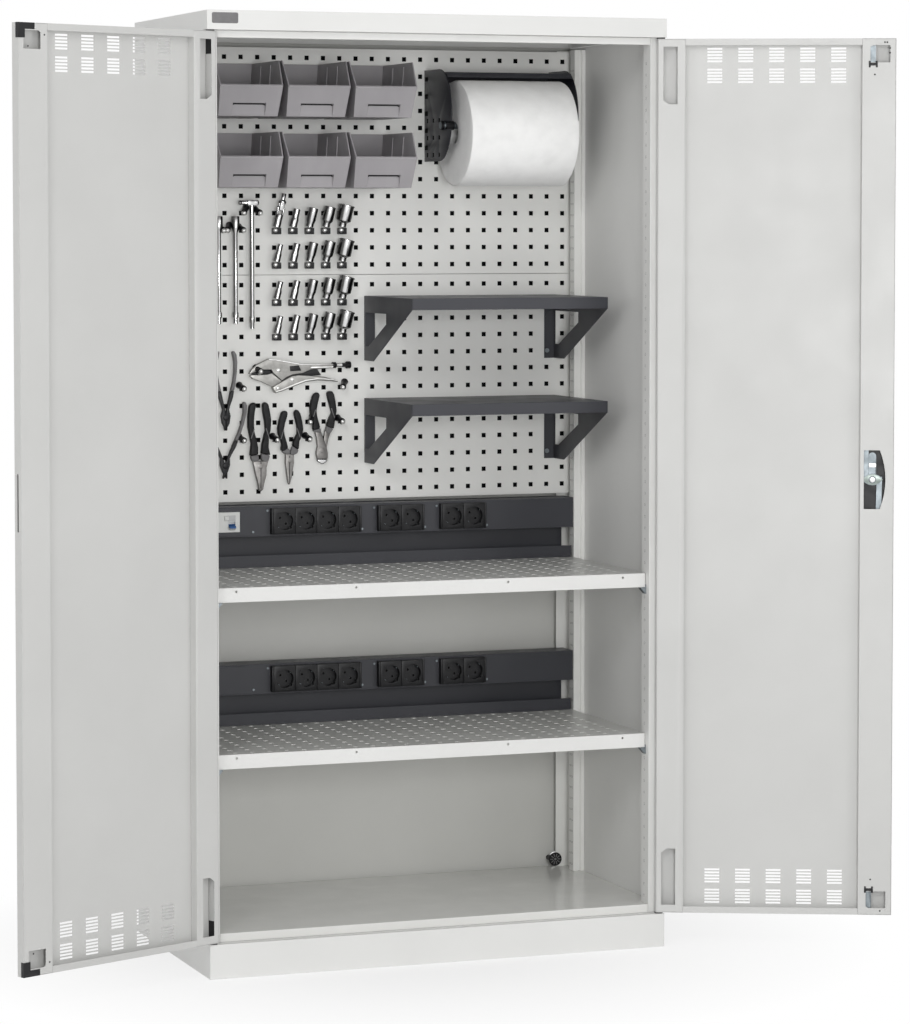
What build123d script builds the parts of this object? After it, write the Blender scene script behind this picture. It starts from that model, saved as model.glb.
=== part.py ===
"""Battery charging cabinet: two-door steel cabinet with perforated panels, socket strips and tool holders.

Millimetres. X right, Y back, Z up; the origin is the centre of the plinth's base. The doors are drawn open.
"""
import os
from math import cos, radians, sin

from build123d import *

os.makedirs("parts", exist_ok=True)

LEFT, RIGHT = -1, 1

# Cabinet envelope
WIDTH = 1023.0
DEPTH = 555.0
HEIGHT = 2000.0
CAP_HEIGHT = 40.0
PLINTH_HEIGHT = 72.0
CAP_WALL = 1.5
SHEET = 1.2
SEAT = 0.3

# Doors
DOOR_THICKNESS = 20.0
DOOR_GAP = 3.0
DOOR_OPEN_ANGLE = 156.0
PIVOT_INSET = 9.5
HINGE_OVERHANG = 6.5
DOOR_SHEET = 1.0
LIP_WIDTH = 14.0
HINGE_STILE_WIDTH = 59.0
FREE_STILE_WIDTH = 72.0
PIN_RADIUS = 3.5
PIN_CLEARANCE = 0.3

# Vent slots in the door skins
VENT_LENGTH = 32.0
VENT_SLOT = 4.0
VENT_PITCH = 6.7
VENT_SLOTS = 5
VENT_GROUPS = 5
VENT_GROUP_PITCH = 66.0
VENT_ROW_FROM_END = 34.0
VENT_ROW_PITCH = 44.4

# Cut-outs in the door stiles
HINGE_WINDOW_WIDTH = 30.0
HINGE_WINDOW_HEIGHT = 122.0
HINGE_WINDOW_FROM_END = 17.0
HINGE_WINDOW_FROM_EDGE = 12.0
HINGE_WINDOW_CHAMFER = 12.0
ROD_WINDOW_WIDTH = 42.0
ROD_WINDOW_HEIGHT = 36.0
ROD_WINDOW_FROM_END = 15.0
ROD_WINDOW_FROM_EDGE = 13.0

# Swing handle and rods on the right door
HUB_FROM_EDGE = 45.5
HUB_HEIGHT = 1015.0
LATCH_WINDOW_HALF_HEIGHT = 63.0
HUB_LENGTH = 44.0
HUB_BREADTH = 24.0
TONGUE_REACH = 58.0
TONGUE_WIDTH = 16.5
TONGUE_THICKNESS = 2.5
ROD_WIDTH = 12.0
ROD_THICKNESS = 2.5
ROD_OFFSET = 15.0
ROD_TOP_FROM_EDGE = 49.0
ROD_END_GAP = 6.0
ROD_TRAVEL = 15.0
STRIKE_SLOT_HEIGHT = 114.0
STRIKE_SLOT_WIDTH = 5.5

# Carcass posts, rails and shelves
POST_WIDTH = 28.0
POST_DEPTH = 40.0
BACK_FLANGE = 18.0
HEADER_HEIGHT = 15.0
FLOOR_TOP = 90.0
UPRIGHT_FACE_Y = 176.0
UPRIGHT_DEPTH = 26.0
UPRIGHT_STEP = 14.5
PANEL_FACE_Y = 229.0
PANEL_FOLD = 20.0
PANEL_HEIGHT = 500.0
PANEL_TOP = 1949.0
HOLE_PITCH = 38.0
HOLE_SIZE = 10.0
HOLE_COLUMNS = 26
HOLE_ROWS = 13
SHELF_TOPS = {"upper": 808.0, "lower": 460.0}
SHELF_LIP = 30.0
SHELF_FRONT_Y = -236.0
SHELF_BACK_Y = 224.0
SHELF_SIDE_GAP = 1.5
SHELF_HOLE_X = (-440.0, -177.0, 165.0, 430.0)
CLIP_WIDTH = 16.0
CLIP_REACH = 12.0

# Socket strips
STRIP_FACE_Y = 180.0
STRIP_DEPTH = 60.0
STRIP_HEIGHT = 67.0
STRIP_ABOVE_SHELF = 68.0
TROUGH_LIP = 26.0
TROUGH_HALF_LENGTH = 478.5
OUTLET_PITCH = 50.0
OUTLET_RADIUS = 20.0
OUTLET_DEPTH = 13.0
OUTLET_BLOCK_HEIGHT = 57.0
OUTLET_BLOCK_PROUD = 15.0
OUTLET_MARGIN = 4.0
OUTLET_GROUPS = ((-132.0, 4), (66.0, 2), (213.5, 2))
OUTLET_SIDES = 32
PIN_HOLE_RADIUS = 2.5
PIN_HOLE_SIDES = 8
PIN_HOLE_DEPTH = 8.0
PIN_HOLE_OFFSET = 9.5
BREAKER_X = -342.0
BREAKER_WIDTH = 72.0
BREAKER_FACE = 44.0
COVER_WIDTH = 122.0
COVER_HEIGHT = 60.0

# Paper roll and its holder
CHEEK_X = 143.0
HOLDER_LENGTH = 300.0
CHEEK_TOP = 1903.0
CHEEK_HEIGHT = 203.0
CHEEK_REACH = 176.0
ROLL_RADIUS = 117.0
ROLL_LENGTH = 252.0
ROLL_CORE_RADIUS = 24.5
ROLL_Y = 104.0
ROLL_Z = 1762.0
SPINDLE_RADIUS = 8.0

# Tool shelves on the perforated panels
TOOL_SHELF_TOPS = {"upper": 1402.0, "lower": 1174.0}
TOOL_SHELF_LEFT = 0.0
TOOL_SHELF_LENGTH = 456.0
TOOL_SHELF_REACH = 316.0
TOOL_SHELF_LIP = 25.0
BRACKET_HEIGHT = 144.0
BRACKET_SHEET = 2.0
BRACKET_FLANGE = 25.0

# Storage bins
BIN_PITCH = 152.0
BIN_COLUMN_X = {"left": -334.0, "middle": -182.0, "right": -30.0}
BIN_ROW_TOP = {"upper": 1912.0, "lower": 1760.0}
BIN_HEIGHT = 120.0
BIN_RIM_WIDTH = 147.0
BIN_FRONT_WIDTH = 140.0
BIN_BASE_WIDTH = 132.0
BIN_FRONT_Y = -12.0
BIN_BACK_Y = 219.0
BIN_SLOPE_RUN = 38.0
BIN_BASE_SETBACK = 28.0
BIN_LIP_DROP = 55.0
BIN_WALL = 2.5
BIN_GRIP_WIDTH = 74.0
BIN_GRIP_HEIGHT = 28.0
BIN_GRIP_DEPTH = 9.0
BIN_LIFT = 20.0

# Small sizes of the fittings
GLAND_X = 476.0
GLAND_Z = 108.0
GLAND_RADIUS = 16.0
GLAND_NECK_RADIUS = 11.0
HINGE_BLOCK_LENGTH = 139.0
HINGE_BLOCK_WIDTH = 10.4
HINGE_SPINE = 4.0
BEARING_LENGTH = 45.0
HINGE_FOOT_LENGTH = 24.0
PIN_REACH = 24.0
WASHER_RADIUS = 9.0
GUARD_THICKNESS = 1.2
GUARD_EDGE_COVER = 8.0
HOUSING_HALF_WIDTH = 26.5
HOUSING_SHIFT = 1.5
HOUSING_HALF_HEIGHT = 64.0
SHAFT_RADIUS = 5.0
KNOB_RADIUS = 15.0
HANDLE_REACH = 44.0
LOCK_RADIUS = 8.0
ROD_STRAIGHT = 90.0
RAIL_SHEET = 1.5
BIN_PEG_ROWS = {"upper": 2, "lower": 6}
BIN_PEG_COLUMNS = (13, 17, 20, 23)
BRACKET_COLUMNS = (12, 1)
BRACKET_ROWS = (2, 4, 8, 10)
BRACKET_PEG_DROP = 51.0
SOCKET_COLUMNS = (18, 17, 16, 15, 14)
SOCKET_ROWS = (("upper", 10), ("upper", 12), ("lower", 1), ("lower", 3))
SOCKET_RADII = (7.0, 8.5, 10.5, 12.5, 16.5)
SOCKET_LENGTH = 50.0
SOCKET_STAND_OFF = 17.0
SOCKET_LEAN = 12.0
PEG_BASE_RADIUS = 11.0
PEG_REACH = 34.0
PEG_TAPER = 8.0
TOOL_PEGS = (
    ("upper", 19, 9), ("upper", 20, 9), ("upper", 20, 10), ("upper", 21, 10), ("upper", 22, 10),
    ("lower", 20, 6), ("lower", 22, 6), ("lower", 20, 9), ("lower", 22, 9), ("lower", 18, 9),
    ("lower", 16, 9), ("lower", 16, 8), ("lower", 14, 8), ("lower", 14, 6), ("lower", 19, 5),
)
BAR_COLLAR_RADIUS = 12.5
BAR_COLLAR_LENGTH = 14.0
DRIVE_BARS = ((-266.0, 1593.2, 268.0), (-304.0, 1555.2, 219.0), (-342.0, 1555.2, 219.0))
HANGING_PLIERS = (
    (-245.0, 1055.0, 107.0, 22.0, 26.0, ((22, 0), (14.5, 25), (11, 55), (4, 83))),
    (-171.0, 1083.0, 70.0, 21.0, 28.0, ((20, 0), (10.5, 18), (9, 43), (2.5, 98))),
    (-94.0, 1122.0, 67.0, 25.0, 30.0, ((23, 0), (16, 15), (12.5, 30), (12.5, 60), (11, 75), (4, 88))),
)
CIRCLIP_PLIERS = ((-323.0, 1163.0, 118.0), (-323.0, 1048.0, 106.0))

# Values worked out from the driving dimensions
HALF_WIDTH = WIDTH / 2
FRONT_Y = -DEPTH / 2
BACK_Y = DEPTH / 2
CAP_UNDERSIDE = HEIGHT - CAP_HEIGHT
POST_FRONT_Y = FRONT_Y + DOOR_THICKNESS + DOOR_GAP
POST_INNER_X = HALF_WIDTH - POST_WIDTH
SIDE_INNER_X = HALF_WIDTH - SHEET
PIVOT_X = HALF_WIDTH - PIVOT_INSET
PIVOT_Y = FRONT_Y + PIVOT_INSET
DOOR_BOTTOM = PLINTH_HEIGHT + DOOR_GAP
DOOR_TOP = CAP_UNDERSIDE - DOOR_GAP
DOOR_LENGTH = DOOR_TOP - DOOR_BOTTOM
FREE_EDGE = PIVOT_X - DOOR_GAP / 2
OUTER_FACE = -PIVOT_INSET
INNER_FACE = DOOR_THICKNESS - PIVOT_INSET
DOOR_TILT = 180.0 - DOOR_OPEN_ANGLE
DOOR_INSIDE = INNER_FACE - DOOR_SHEET
HUB_A = FREE_EDGE - HUB_FROM_EDGE
HOUSING_A = HUB_A + HOUSING_SHIFT
ROD_END_A = FREE_EDGE - ROD_TOP_FROM_EDGE
FREE_STILE_A = FREE_EDGE - FREE_STILE_WIDTH
HOUSING_INNER_B = -1.6
TONGUE_B = -1.2
ROD_B = TONGUE_B + TONGUE_THICKNESS + 0.5
HUB_B = ROD_B + ROD_THICKNESS + 0.4
HUB_THICKNESS = 2.5
SHELF_HALF_LENGTH = POST_INNER_X - SHELF_SIDE_GAP
STRIP_HALF_LENGTH = POST_INNER_X - SEAT
PANEL_HALF_WIDTH = HOLE_COLUMNS * HOLE_PITCH / 2
PANEL_TOPS = {"upper": PANEL_TOP, "lower": PANEL_TOP - PANEL_HEIGHT}
PANEL_BACK_Y = PANEL_FACE_Y + PANEL_FOLD
PANEL_MARGIN = (PANEL_HEIGHT - (HOLE_ROWS - 1) * HOLE_PITCH) / 2
PEG_SIZE = HOLE_SIZE - 0.8
RAIL_FRONT_Y = BIN_BACK_Y + SEAT
BRACKET_SCREW_DROP = BRACKET_PEG_DROP + 2 * HOLE_PITCH
BAR_Y = PANEL_FACE_Y - SEAT - BAR_COLLAR_RADIUS
PLIERS_Y = PANEL_FACE_Y - SEAT - 6


def hole_x(column: int) -> float:
    """X of a column of panel holes, counted from the right."""
    return ((HOLE_COLUMNS - 1) / 2 - column) * HOLE_PITCH


def hole_z(panel: str, row: int) -> float:
    """Z of a row of panel holes, counted from the panel's top."""
    return PANEL_TOPS[panel] - PANEL_MARGIN - row * HOLE_PITCH


def block(x0, x1, y0, y1, z0, z1, mode=Mode.ADD):
    """Rectangular solid between two corners, in the active part."""
    with Locations(((x0 + x1) / 2, (y0 + y1) / 2, (z0 + z1) / 2)):
        Box(x1 - x0, y1 - y0, z1 - z0, mode=mode)


def bent_sheet(plane: Plane, points, thickness: float, side: Side = Side.LEFT) -> Sketch:
    """Section of a folded sheet whose one skin follows the points."""
    with BuildSketch(plane) as section:
        with BuildLine():
            Polyline(*points)
            offset(amount=thickness, side=side, kind=Kind.INTERSECTION)
        make_face()
    return section.sketch


def outline(plane: Plane, points) -> Sketch:
    """Face inside a closed outline."""
    with BuildSketch(plane) as shape:
        with BuildLine():
            Polyline(*points, close=True)
        make_face()
    return shape.sketch


def save(builder: BuildPart, name: str):
    """Label a finished piece and write it."""
    builder.part.label = name
    export_step(builder.part, f"parts/{name}.step")


# Carcass


def make_top_cap():
    """Folded lid with a front flange that holds the upper pivots and takes the upper rod."""
    with BuildPart() as cap:
        block(-HALF_WIDTH, HALF_WIDTH, FRONT_Y, BACK_Y, CAP_UNDERSIDE, HEIGHT)
        offset(amount=-CAP_WALL, openings=cap.faces().sort_by(Axis.Z)[0])
        with BuildSketch(Plane.XY.offset(CAP_UNDERSIDE)):
            with Locations((0, (FRONT_Y + POST_FRONT_Y) / 2)):
                Rectangle(WIDTH - CAP_WALL, DOOR_THICKNESS + DOOR_GAP)
            with Locations((-PIVOT_X, PIVOT_Y), (PIVOT_X, PIVOT_Y)):
                Circle(PIN_RADIUS + PIN_CLEARANCE, mode=Mode.SUBTRACT)
            with Locations((PIVOT_X - ROD_END_A, PIVOT_Y + ROD_B + ROD_THICKNESS / 2)):
                Rectangle(ROD_WIDTH + 4, ROD_THICKNESS + 3, mode=Mode.SUBTRACT)
        extrude(amount=SHEET)
    save(cap, "top_cap")


def make_plinth():
    """Inverted tray that carries the cabinet, with the lower pivots' holes in its top."""
    with BuildPart() as plinth:
        block(-HALF_WIDTH, HALF_WIDTH, FRONT_Y, BACK_Y, 0, PLINTH_HEIGHT)
        offset(amount=-CAP_WALL, openings=plinth.faces().sort_by(Axis.Z)[0])
        with BuildSketch(Plane.XY.offset(PLINTH_HEIGHT)):
            with Locations((-PIVOT_X, PIVOT_Y), (PIVOT_X, PIVOT_Y)):
                Circle(PIN_RADIUS + PIN_CLEARANCE)
            with Locations((PIVOT_X - ROD_END_A, PIVOT_Y + ROD_B + ROD_THICKNESS / 2)):
                Rectangle(ROD_WIDTH + 4, ROD_THICKNESS + 3)
        extrude(amount=-2 * CAP_WALL, mode=Mode.SUBTRACT)
        chamfer(plinth.edges().filter_by(Axis.Z).group_by(SortBy.LENGTH)[-1].sort_by(Axis.Y)[:2], 0.6)
    save(plinth, "plinth")


def make_side_panel(side: int, name: str):
    """Side sheet with its boxed front post and its back flange, bent from one plan section."""
    post_back_y = POST_FRONT_Y + POST_DEPTH
    section = (
        (SIDE_INNER_X - 4, post_back_y),
        (POST_INNER_X, post_back_y),
        (POST_INNER_X, POST_FRONT_Y),
        (HALF_WIDTH, POST_FRONT_Y),
        (HALF_WIDTH, BACK_Y),
        (HALF_WIDTH - BACK_FLANGE, BACK_Y),
    )
    bottom = PLINTH_HEIGHT + SEAT
    with BuildPart() as panel:
        plan = bent_sheet(Plane.XY.offset(bottom), section, SHEET, Side.LEFT)
        extrude(plan, amount=CAP_UNDERSIDE - SEAT - bottom)
    if side == LEFT:
        with BuildPart() as mirrored:
            add(mirror(panel.part, about=Plane.YZ))
        panel = mirrored
    save(panel, name)


def make_back_panel():
    """Back sheet with folded top and bottom edges and the cable gland's hole."""
    with BuildPart() as back:
        bottom = PLINTH_HEIGHT + SEAT
        face_y = BACK_Y - SHEET - SEAT
        half = SIDE_INNER_X - SEAT
        section = (
            (face_y - 12, bottom),
            (face_y, bottom),
            (face_y, CAP_UNDERSIDE - SEAT),
            (face_y - 12, CAP_UNDERSIDE - SEAT),
        )
        extrude(bent_sheet(Plane.YZ, section, SHEET, Side.LEFT), amount=half, both=True)
        with Locations(Location((GLAND_X, face_y, GLAND_Z), (90, 0, 0))):
            Cylinder(GLAND_NECK_RADIUS + SEAT, 8, mode=Mode.SUBTRACT)
    save(back, "back_panel")


def make_floor_panel():
    """Floor tray between the posts, with its folded front sill and side edges."""
    post_back_y = POST_FRONT_Y + POST_DEPTH + SEAT
    sill_half = POST_INNER_X - SEAT
    deck_half = SIDE_INNER_X - SEAT
    back_y = BACK_Y - 2 * SHEET - 2 * SEAT - 12
    deck = (
        (-sill_half, POST_FRONT_Y),
        (sill_half, POST_FRONT_Y),
        (sill_half, post_back_y),
        (deck_half, post_back_y),
        (deck_half, back_y),
        (-deck_half, back_y),
        (-deck_half, post_back_y),
        (-sill_half, post_back_y),
    )
    with BuildPart() as floor:
        bottom = PLINTH_HEIGHT + SEAT
        extrude(outline(Plane.XY.offset(bottom), deck), amount=FLOOR_TOP - bottom)
        offset(amount=-SHEET, openings=floor.faces().sort_by(Axis.Z)[0])
    save(floor, "floor_panel")


def make_header_rail():
    """Channel that closes the top of the door opening."""
    top = CAP_UNDERSIDE - SEAT
    bottom = CAP_UNDERSIDE - HEADER_HEIGHT
    section = (
        (POST_FRONT_Y + POST_DEPTH, top),
        (POST_FRONT_Y, top),
        (POST_FRONT_Y, bottom),
        (POST_FRONT_Y + 12, bottom),
    )
    with BuildPart() as rail:
        profile = bent_sheet(Plane.YZ, section, SHEET, Side.LEFT)
        extrude(profile, amount=POST_INNER_X - SEAT, both=True)
    save(rail, "header_rail")


def make_rear_uprights():
    """Slotted rear uprights, bent so that their back legs also carry the perforated panels."""
    back_leg_x = PANEL_HALF_WIDTH + 6
    rear_y = PANEL_BACK_Y + SEAT
    face_back_y = UPRIGHT_FACE_Y + UPRIGHT_DEPTH
    section = (
        (SIDE_INNER_X - SEAT, UPRIGHT_FACE_Y),
        (POST_INNER_X + UPRIGHT_STEP + 4, UPRIGHT_FACE_Y),
        (POST_INNER_X + UPRIGHT_STEP + 2, UPRIGHT_FACE_Y + 5),
        (POST_INNER_X + UPRIGHT_STEP - 1, UPRIGHT_FACE_Y + 5),
        (POST_INNER_X + UPRIGHT_STEP - 3, UPRIGHT_FACE_Y),
        (POST_INNER_X, UPRIGHT_FACE_Y),
        (POST_INNER_X, face_back_y),
        (back_leg_x, face_back_y),
        (back_leg_x, rear_y),
        (POST_INNER_X - 14, rear_y),
    )
    length = CAP_UNDERSIDE - 8 - FLOOR_TOP
    with BuildPart() as uprights:
        plan = bent_sheet(Plane.XY.offset(FLOOR_TOP + SEAT), section, SHEET, Side.RIGHT)
        extrude(plan, amount=length)
        mirror(about=Plane.YZ)
    save(uprights, "rear_uprights")


# Perforated panels


def used_holes(panel: str):
    """Places of the panel holes that a hook, clip, bracket or rail uses."""
    places = []
    for kind_panel, column, row in HOLES_IN_USE:
        if kind_panel == panel:
            places.append((hole_x(column), hole_z(panel, row)))
    return places


def make_perforated_panel(panel: str):
    """Folded panel tray with the square holes that its fittings hang in."""
    top = PANEL_TOPS[panel]
    with BuildPart() as tray:
        block(
            -PANEL_HALF_WIDTH, PANEL_HALF_WIDTH,
            PANEL_FACE_Y, PANEL_BACK_Y,
            top - PANEL_HEIGHT + SEAT / 2, top - SEAT / 2,
        )
        offset(amount=-SHEET, openings=tray.faces().sort_by(Axis.Y)[-1])
        holes = [(x, PANEL_FACE_Y, z) for x, z in used_holes(panel)]
        with Locations(*holes):
            Box(HOLE_SIZE, 3 * SHEET, HOLE_SIZE, mode=Mode.SUBTRACT)
    save(tray, f"{panel}_perforated_panel")


# Full-width shelves


def make_shelf(level: str):
    """Tray shelf with a folded lip all round and four holes in its front lip."""
    top = SHELF_TOPS[level]
    with BuildPart() as shelf:
        block(
            -SHELF_HALF_LENGTH, SHELF_HALF_LENGTH,
            SHELF_FRONT_Y, SHELF_BACK_Y,
            top - SHELF_LIP, top,
        )
        offset(amount=-SHEET, openings=shelf.faces().sort_by(Axis.Z)[0])
        lip = Plane(origin=(0, SHELF_FRONT_Y, top - 8), x_dir=(1, 0, 0), z_dir=(0, -1, 0))
        with BuildSketch(lip):
            with Locations(*[(x, 0) for x in SHELF_HOLE_X]):
                RegularPolygon(2.5, 12)
        extrude(amount=-3, mode=Mode.SUBTRACT)
    save(shelf, f"{level}_shelf")


def make_shelf_clips():
    """Bent clips that hook in the posts and uprights and carry the shelves."""
    front_y = POST_FRONT_Y + POST_DEPTH - 17
    rear_y = UPRIGHT_FACE_Y + UPRIGHT_DEPTH / 2
    with BuildPart() as clips:
        for top in SHELF_TOPS.values():
            seat_z = top - SHELF_LIP - SEAT
            profile = (
                (POST_INNER_X - SEAT, seat_z + 6),
                (POST_INNER_X - SEAT, seat_z - 14),
                (POST_INNER_X - SEAT - 2, seat_z - 14),
                (POST_INNER_X - SEAT - CLIP_REACH, seat_z - 2),
                (POST_INNER_X - SEAT - CLIP_REACH, seat_z),
                (POST_INNER_X - SEAT - SHELF_SIDE_GAP + SEAT, seat_z),
                (POST_INNER_X - SEAT - SHELF_SIDE_GAP + SEAT, seat_z + 6),
            )
            for centre_y in (front_y, rear_y):
                plane = Plane(origin=(0, centre_y, 0), x_dir=(1, 0, 0), z_dir=(0, -1, 0))
                extrude(outline(plane, profile), amount=CLIP_WIDTH / 2, both=True)
        mirror(about=Plane.YZ)
    save(clips, "shelf_clips")


# Socket strips


def strip_bottom(level: str) -> float:
    """Underside of a strip's box."""
    return SHELF_TOPS[level] + STRIP_ABOVE_SHELF


def strip_middle(level: str) -> float:
    """Height of a strip's outlets."""
    return strip_bottom(level) + STRIP_HEIGHT / 2


def outlet_block_width(count: int) -> float:
    """Width of a block that holds a row of outlets."""
    return count * OUTLET_PITCH + 2 * OUTLET_MARGIN


def make_socket_channel(level: str):
    """Folded box channel between the uprights, with the windows of its outlets and breaker."""
    bottom = strip_bottom(level)
    top = bottom + STRIP_HEIGHT
    back_y = STRIP_FACE_Y + STRIP_DEPTH
    middle = strip_middle(level)
    with BuildPart() as channel:
        block(-STRIP_HALF_LENGTH, STRIP_HALF_LENGTH, STRIP_FACE_Y, back_y, bottom, top)
        offset(amount=-1.5, openings=channel.faces().sort_by(Axis.Y)[-1])
        for centre_x, count in OUTLET_GROUPS:
            with Locations((centre_x, STRIP_FACE_Y, middle)):
                Box(outlet_block_width(count) - 6, 8, OUTLET_BLOCK_HEIGHT - 6, mode=Mode.SUBTRACT)
        with Locations((BREAKER_X, STRIP_FACE_Y, middle)):
            Box(BREAKER_WIDTH + 2, 8, BREAKER_FACE + 2, mode=Mode.SUBTRACT)
        for x in (-STRIP_HALF_LENGTH, STRIP_HALF_LENGTH):
            block(
                x - 3, x + 3, UPRIGHT_FACE_Y + UPRIGHT_DEPTH + 4, back_y + 1,
                bottom + 6, top - 6, Mode.SUBTRACT,
            )
    save(channel, f"{level}_socket_channel")


def make_cable_troughs():
    """Folded troughs under the strips that take the chargers' cables."""
    back_y = STRIP_FACE_Y + STRIP_DEPTH
    with BuildPart() as troughs:
        for level, shelf_top in SHELF_TOPS.items():
            floor_z = shelf_top + SEAT
            section = (
                (back_y, strip_bottom(level) - SEAT),
                (back_y, floor_z),
                (STRIP_FACE_Y, floor_z),
                (STRIP_FACE_Y, floor_z + TROUGH_LIP),
            )
            profile = bent_sheet(Plane.YZ, section, 1.5, Side.RIGHT)
            extrude(profile, amount=TROUGH_HALF_LENGTH, both=True)
    save(troughs, "cable_troughs")


def make_outlet_blocks():
    """Moulded blocks with round earthed outlets turned by 45 degrees."""
    step = PIN_HOLE_OFFSET * cos(radians(45))
    with BuildPart() as blocks:
        for level in SHELF_TOPS:
            middle = strip_middle(level)
            front_y = STRIP_FACE_Y - OUTLET_BLOCK_PROUD
            for centre_x, count in OUTLET_GROUPS:
                half = outlet_block_width(count) / 2
                half_height = OUTLET_BLOCK_HEIGHT / 2
                block(
                    centre_x - half, centre_x + half,
                    front_y, STRIP_FACE_Y - SEAT,
                    middle - half_height, middle + half_height,
                )
                block(
                    centre_x - half + 5, centre_x + half - 5,
                    STRIP_FACE_Y - SEAT, STRIP_FACE_Y + 20,
                    middle - half_height + 5, middle + half_height - 5,
                )
                face = Plane(origin=(centre_x, front_y, middle), x_dir=(1, 0, 0), z_dir=(0, -1, 0))
                with BuildSketch(face):
                    with GridLocations(OUTLET_PITCH, 1, count, 1):
                        RegularPolygon(OUTLET_RADIUS, OUTLET_SIDES)
                extrude(amount=-OUTLET_DEPTH, mode=Mode.SUBTRACT)
                with BuildSketch(face.offset(-OUTLET_DEPTH)):
                    with GridLocations(OUTLET_PITCH, 1, count, 1):
                        with Locations((-step, step), (step, -step)):
                            RegularPolygon(PIN_HOLE_RADIUS, PIN_HOLE_SIDES)
                extrude(amount=-PIN_HOLE_DEPTH, mode=Mode.SUBTRACT)
    save(blocks, "outlet_blocks")


def make_cover_plates():
    """Breaker's frame on the upper strip and the blank cover on the lower one."""
    with BuildPart() as plates:
        for level in SHELF_TOPS:
            middle = strip_middle(level)
            plane = Plane(origin=(BREAKER_X, STRIP_FACE_Y - SEAT, middle), x_dir=(1, 0, 0), z_dir=(0, -1, 0))
            with BuildSketch(plane):
                RectangleRounded(COVER_WIDTH, COVER_HEIGHT, 2)
                if level == "upper":
                    Rectangle(BREAKER_WIDTH + 2 * SEAT, BREAKER_FACE + 2 * SEAT, mode=Mode.SUBTRACT)
            extrude(amount=3)
    save(plates, "cover_plates")


def make_breaker():
    """Residual-current breaker: body, toggle and test button."""
    middle = strip_middle("upper")
    front_y = STRIP_FACE_Y - 4
    toggle_x = BREAKER_X + 18
    button_x = BREAKER_X + 6
    with BuildPart() as body:
        block(
            BREAKER_X - BREAKER_WIDTH / 2, BREAKER_X + BREAKER_WIDTH / 2,
            front_y, STRIP_FACE_Y + 36,
            middle - BREAKER_FACE / 2, middle + BREAKER_FACE / 2,
        )
        block(toggle_x - 8, toggle_x + 8, front_y - 1, front_y + 9, middle - 17, middle + 1, Mode.SUBTRACT)
        block(button_x - 5, button_x + 5, front_y - 1, front_y + 5, middle + 4, middle + 14, Mode.SUBTRACT)
    save(body, "breaker_body")
    pivot_z = middle - 8
    with BuildPart() as lever:
        plane = Plane(origin=(toggle_x, 0, 0), x_dir=(0, 1, 0), z_dir=(1, 0, 0))
        with BuildSketch(plane):
            with Locations((front_y + 5, pivot_z)):
                Circle(3.5)
            with BuildLine():
                Polyline(
                    (front_y + 6, pivot_z + 3), (front_y - 9, pivot_z - 1),
                    (front_y - 9, pivot_z - 5), (front_y + 3, pivot_z - 3), close=True,
                )
            make_face()
        extrude(amount=7, both=True)
    save(lever, "breaker_lever")
    with BuildPart() as button:
        block(button_x - 4.6, button_x + 4.6, front_y - 2, front_y + 2.5, middle + 4.4, middle + 13.6)
        chamfer(button.faces().sort_by(Axis.Y)[0].edges(), 0.6)
    save(button, "test_button")


def make_pan_screws():
    """Pan-head screws beside the outlet blocks, in the breaker's frame and in the tool shelves' brackets."""
    with BuildPart() as screws:
        for top in TOOL_SHELF_TOPS.values():
            for x in (TOOL_SHELF_LEFT + HOLE_PITCH / 2, TOOL_SHELF_LEFT + TOOL_SHELF_LENGTH - HOLE_PITCH / 2):
                plane = Plane(
                    origin=(x, PANEL_FACE_Y - 2 * SEAT - BRACKET_SHEET, top - BRACKET_SCREW_DROP),
                    x_dir=(1, 0, 0), z_dir=(0, -1, 0),
                )
                with BuildSketch(plane):
                    RegularPolygon(5, 10)
                extrude(amount=2.5)
        for level in SHELF_TOPS:
            middle = strip_middle(level)
            spots = []
            for centre_x, count in OUTLET_GROUPS:
                reach = outlet_block_width(count) / 2 + 6
                spots.append((centre_x - reach, middle + 23))
                spots.append((centre_x + reach, middle - 23))
            spots.append((BREAKER_X + COVER_WIDTH / 2 + 6, middle - 23))
            plane = Plane(origin=(0, STRIP_FACE_Y - SEAT, 0), x_dir=(1, 0, 0), z_dir=(0, -1, 0))
            with BuildSketch(plane):
                with Locations(*spots):
                    RegularPolygon(2.6, 8)
            extrude(amount=1.6)
    save(screws, "pan_screws")


# Paper roll


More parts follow.
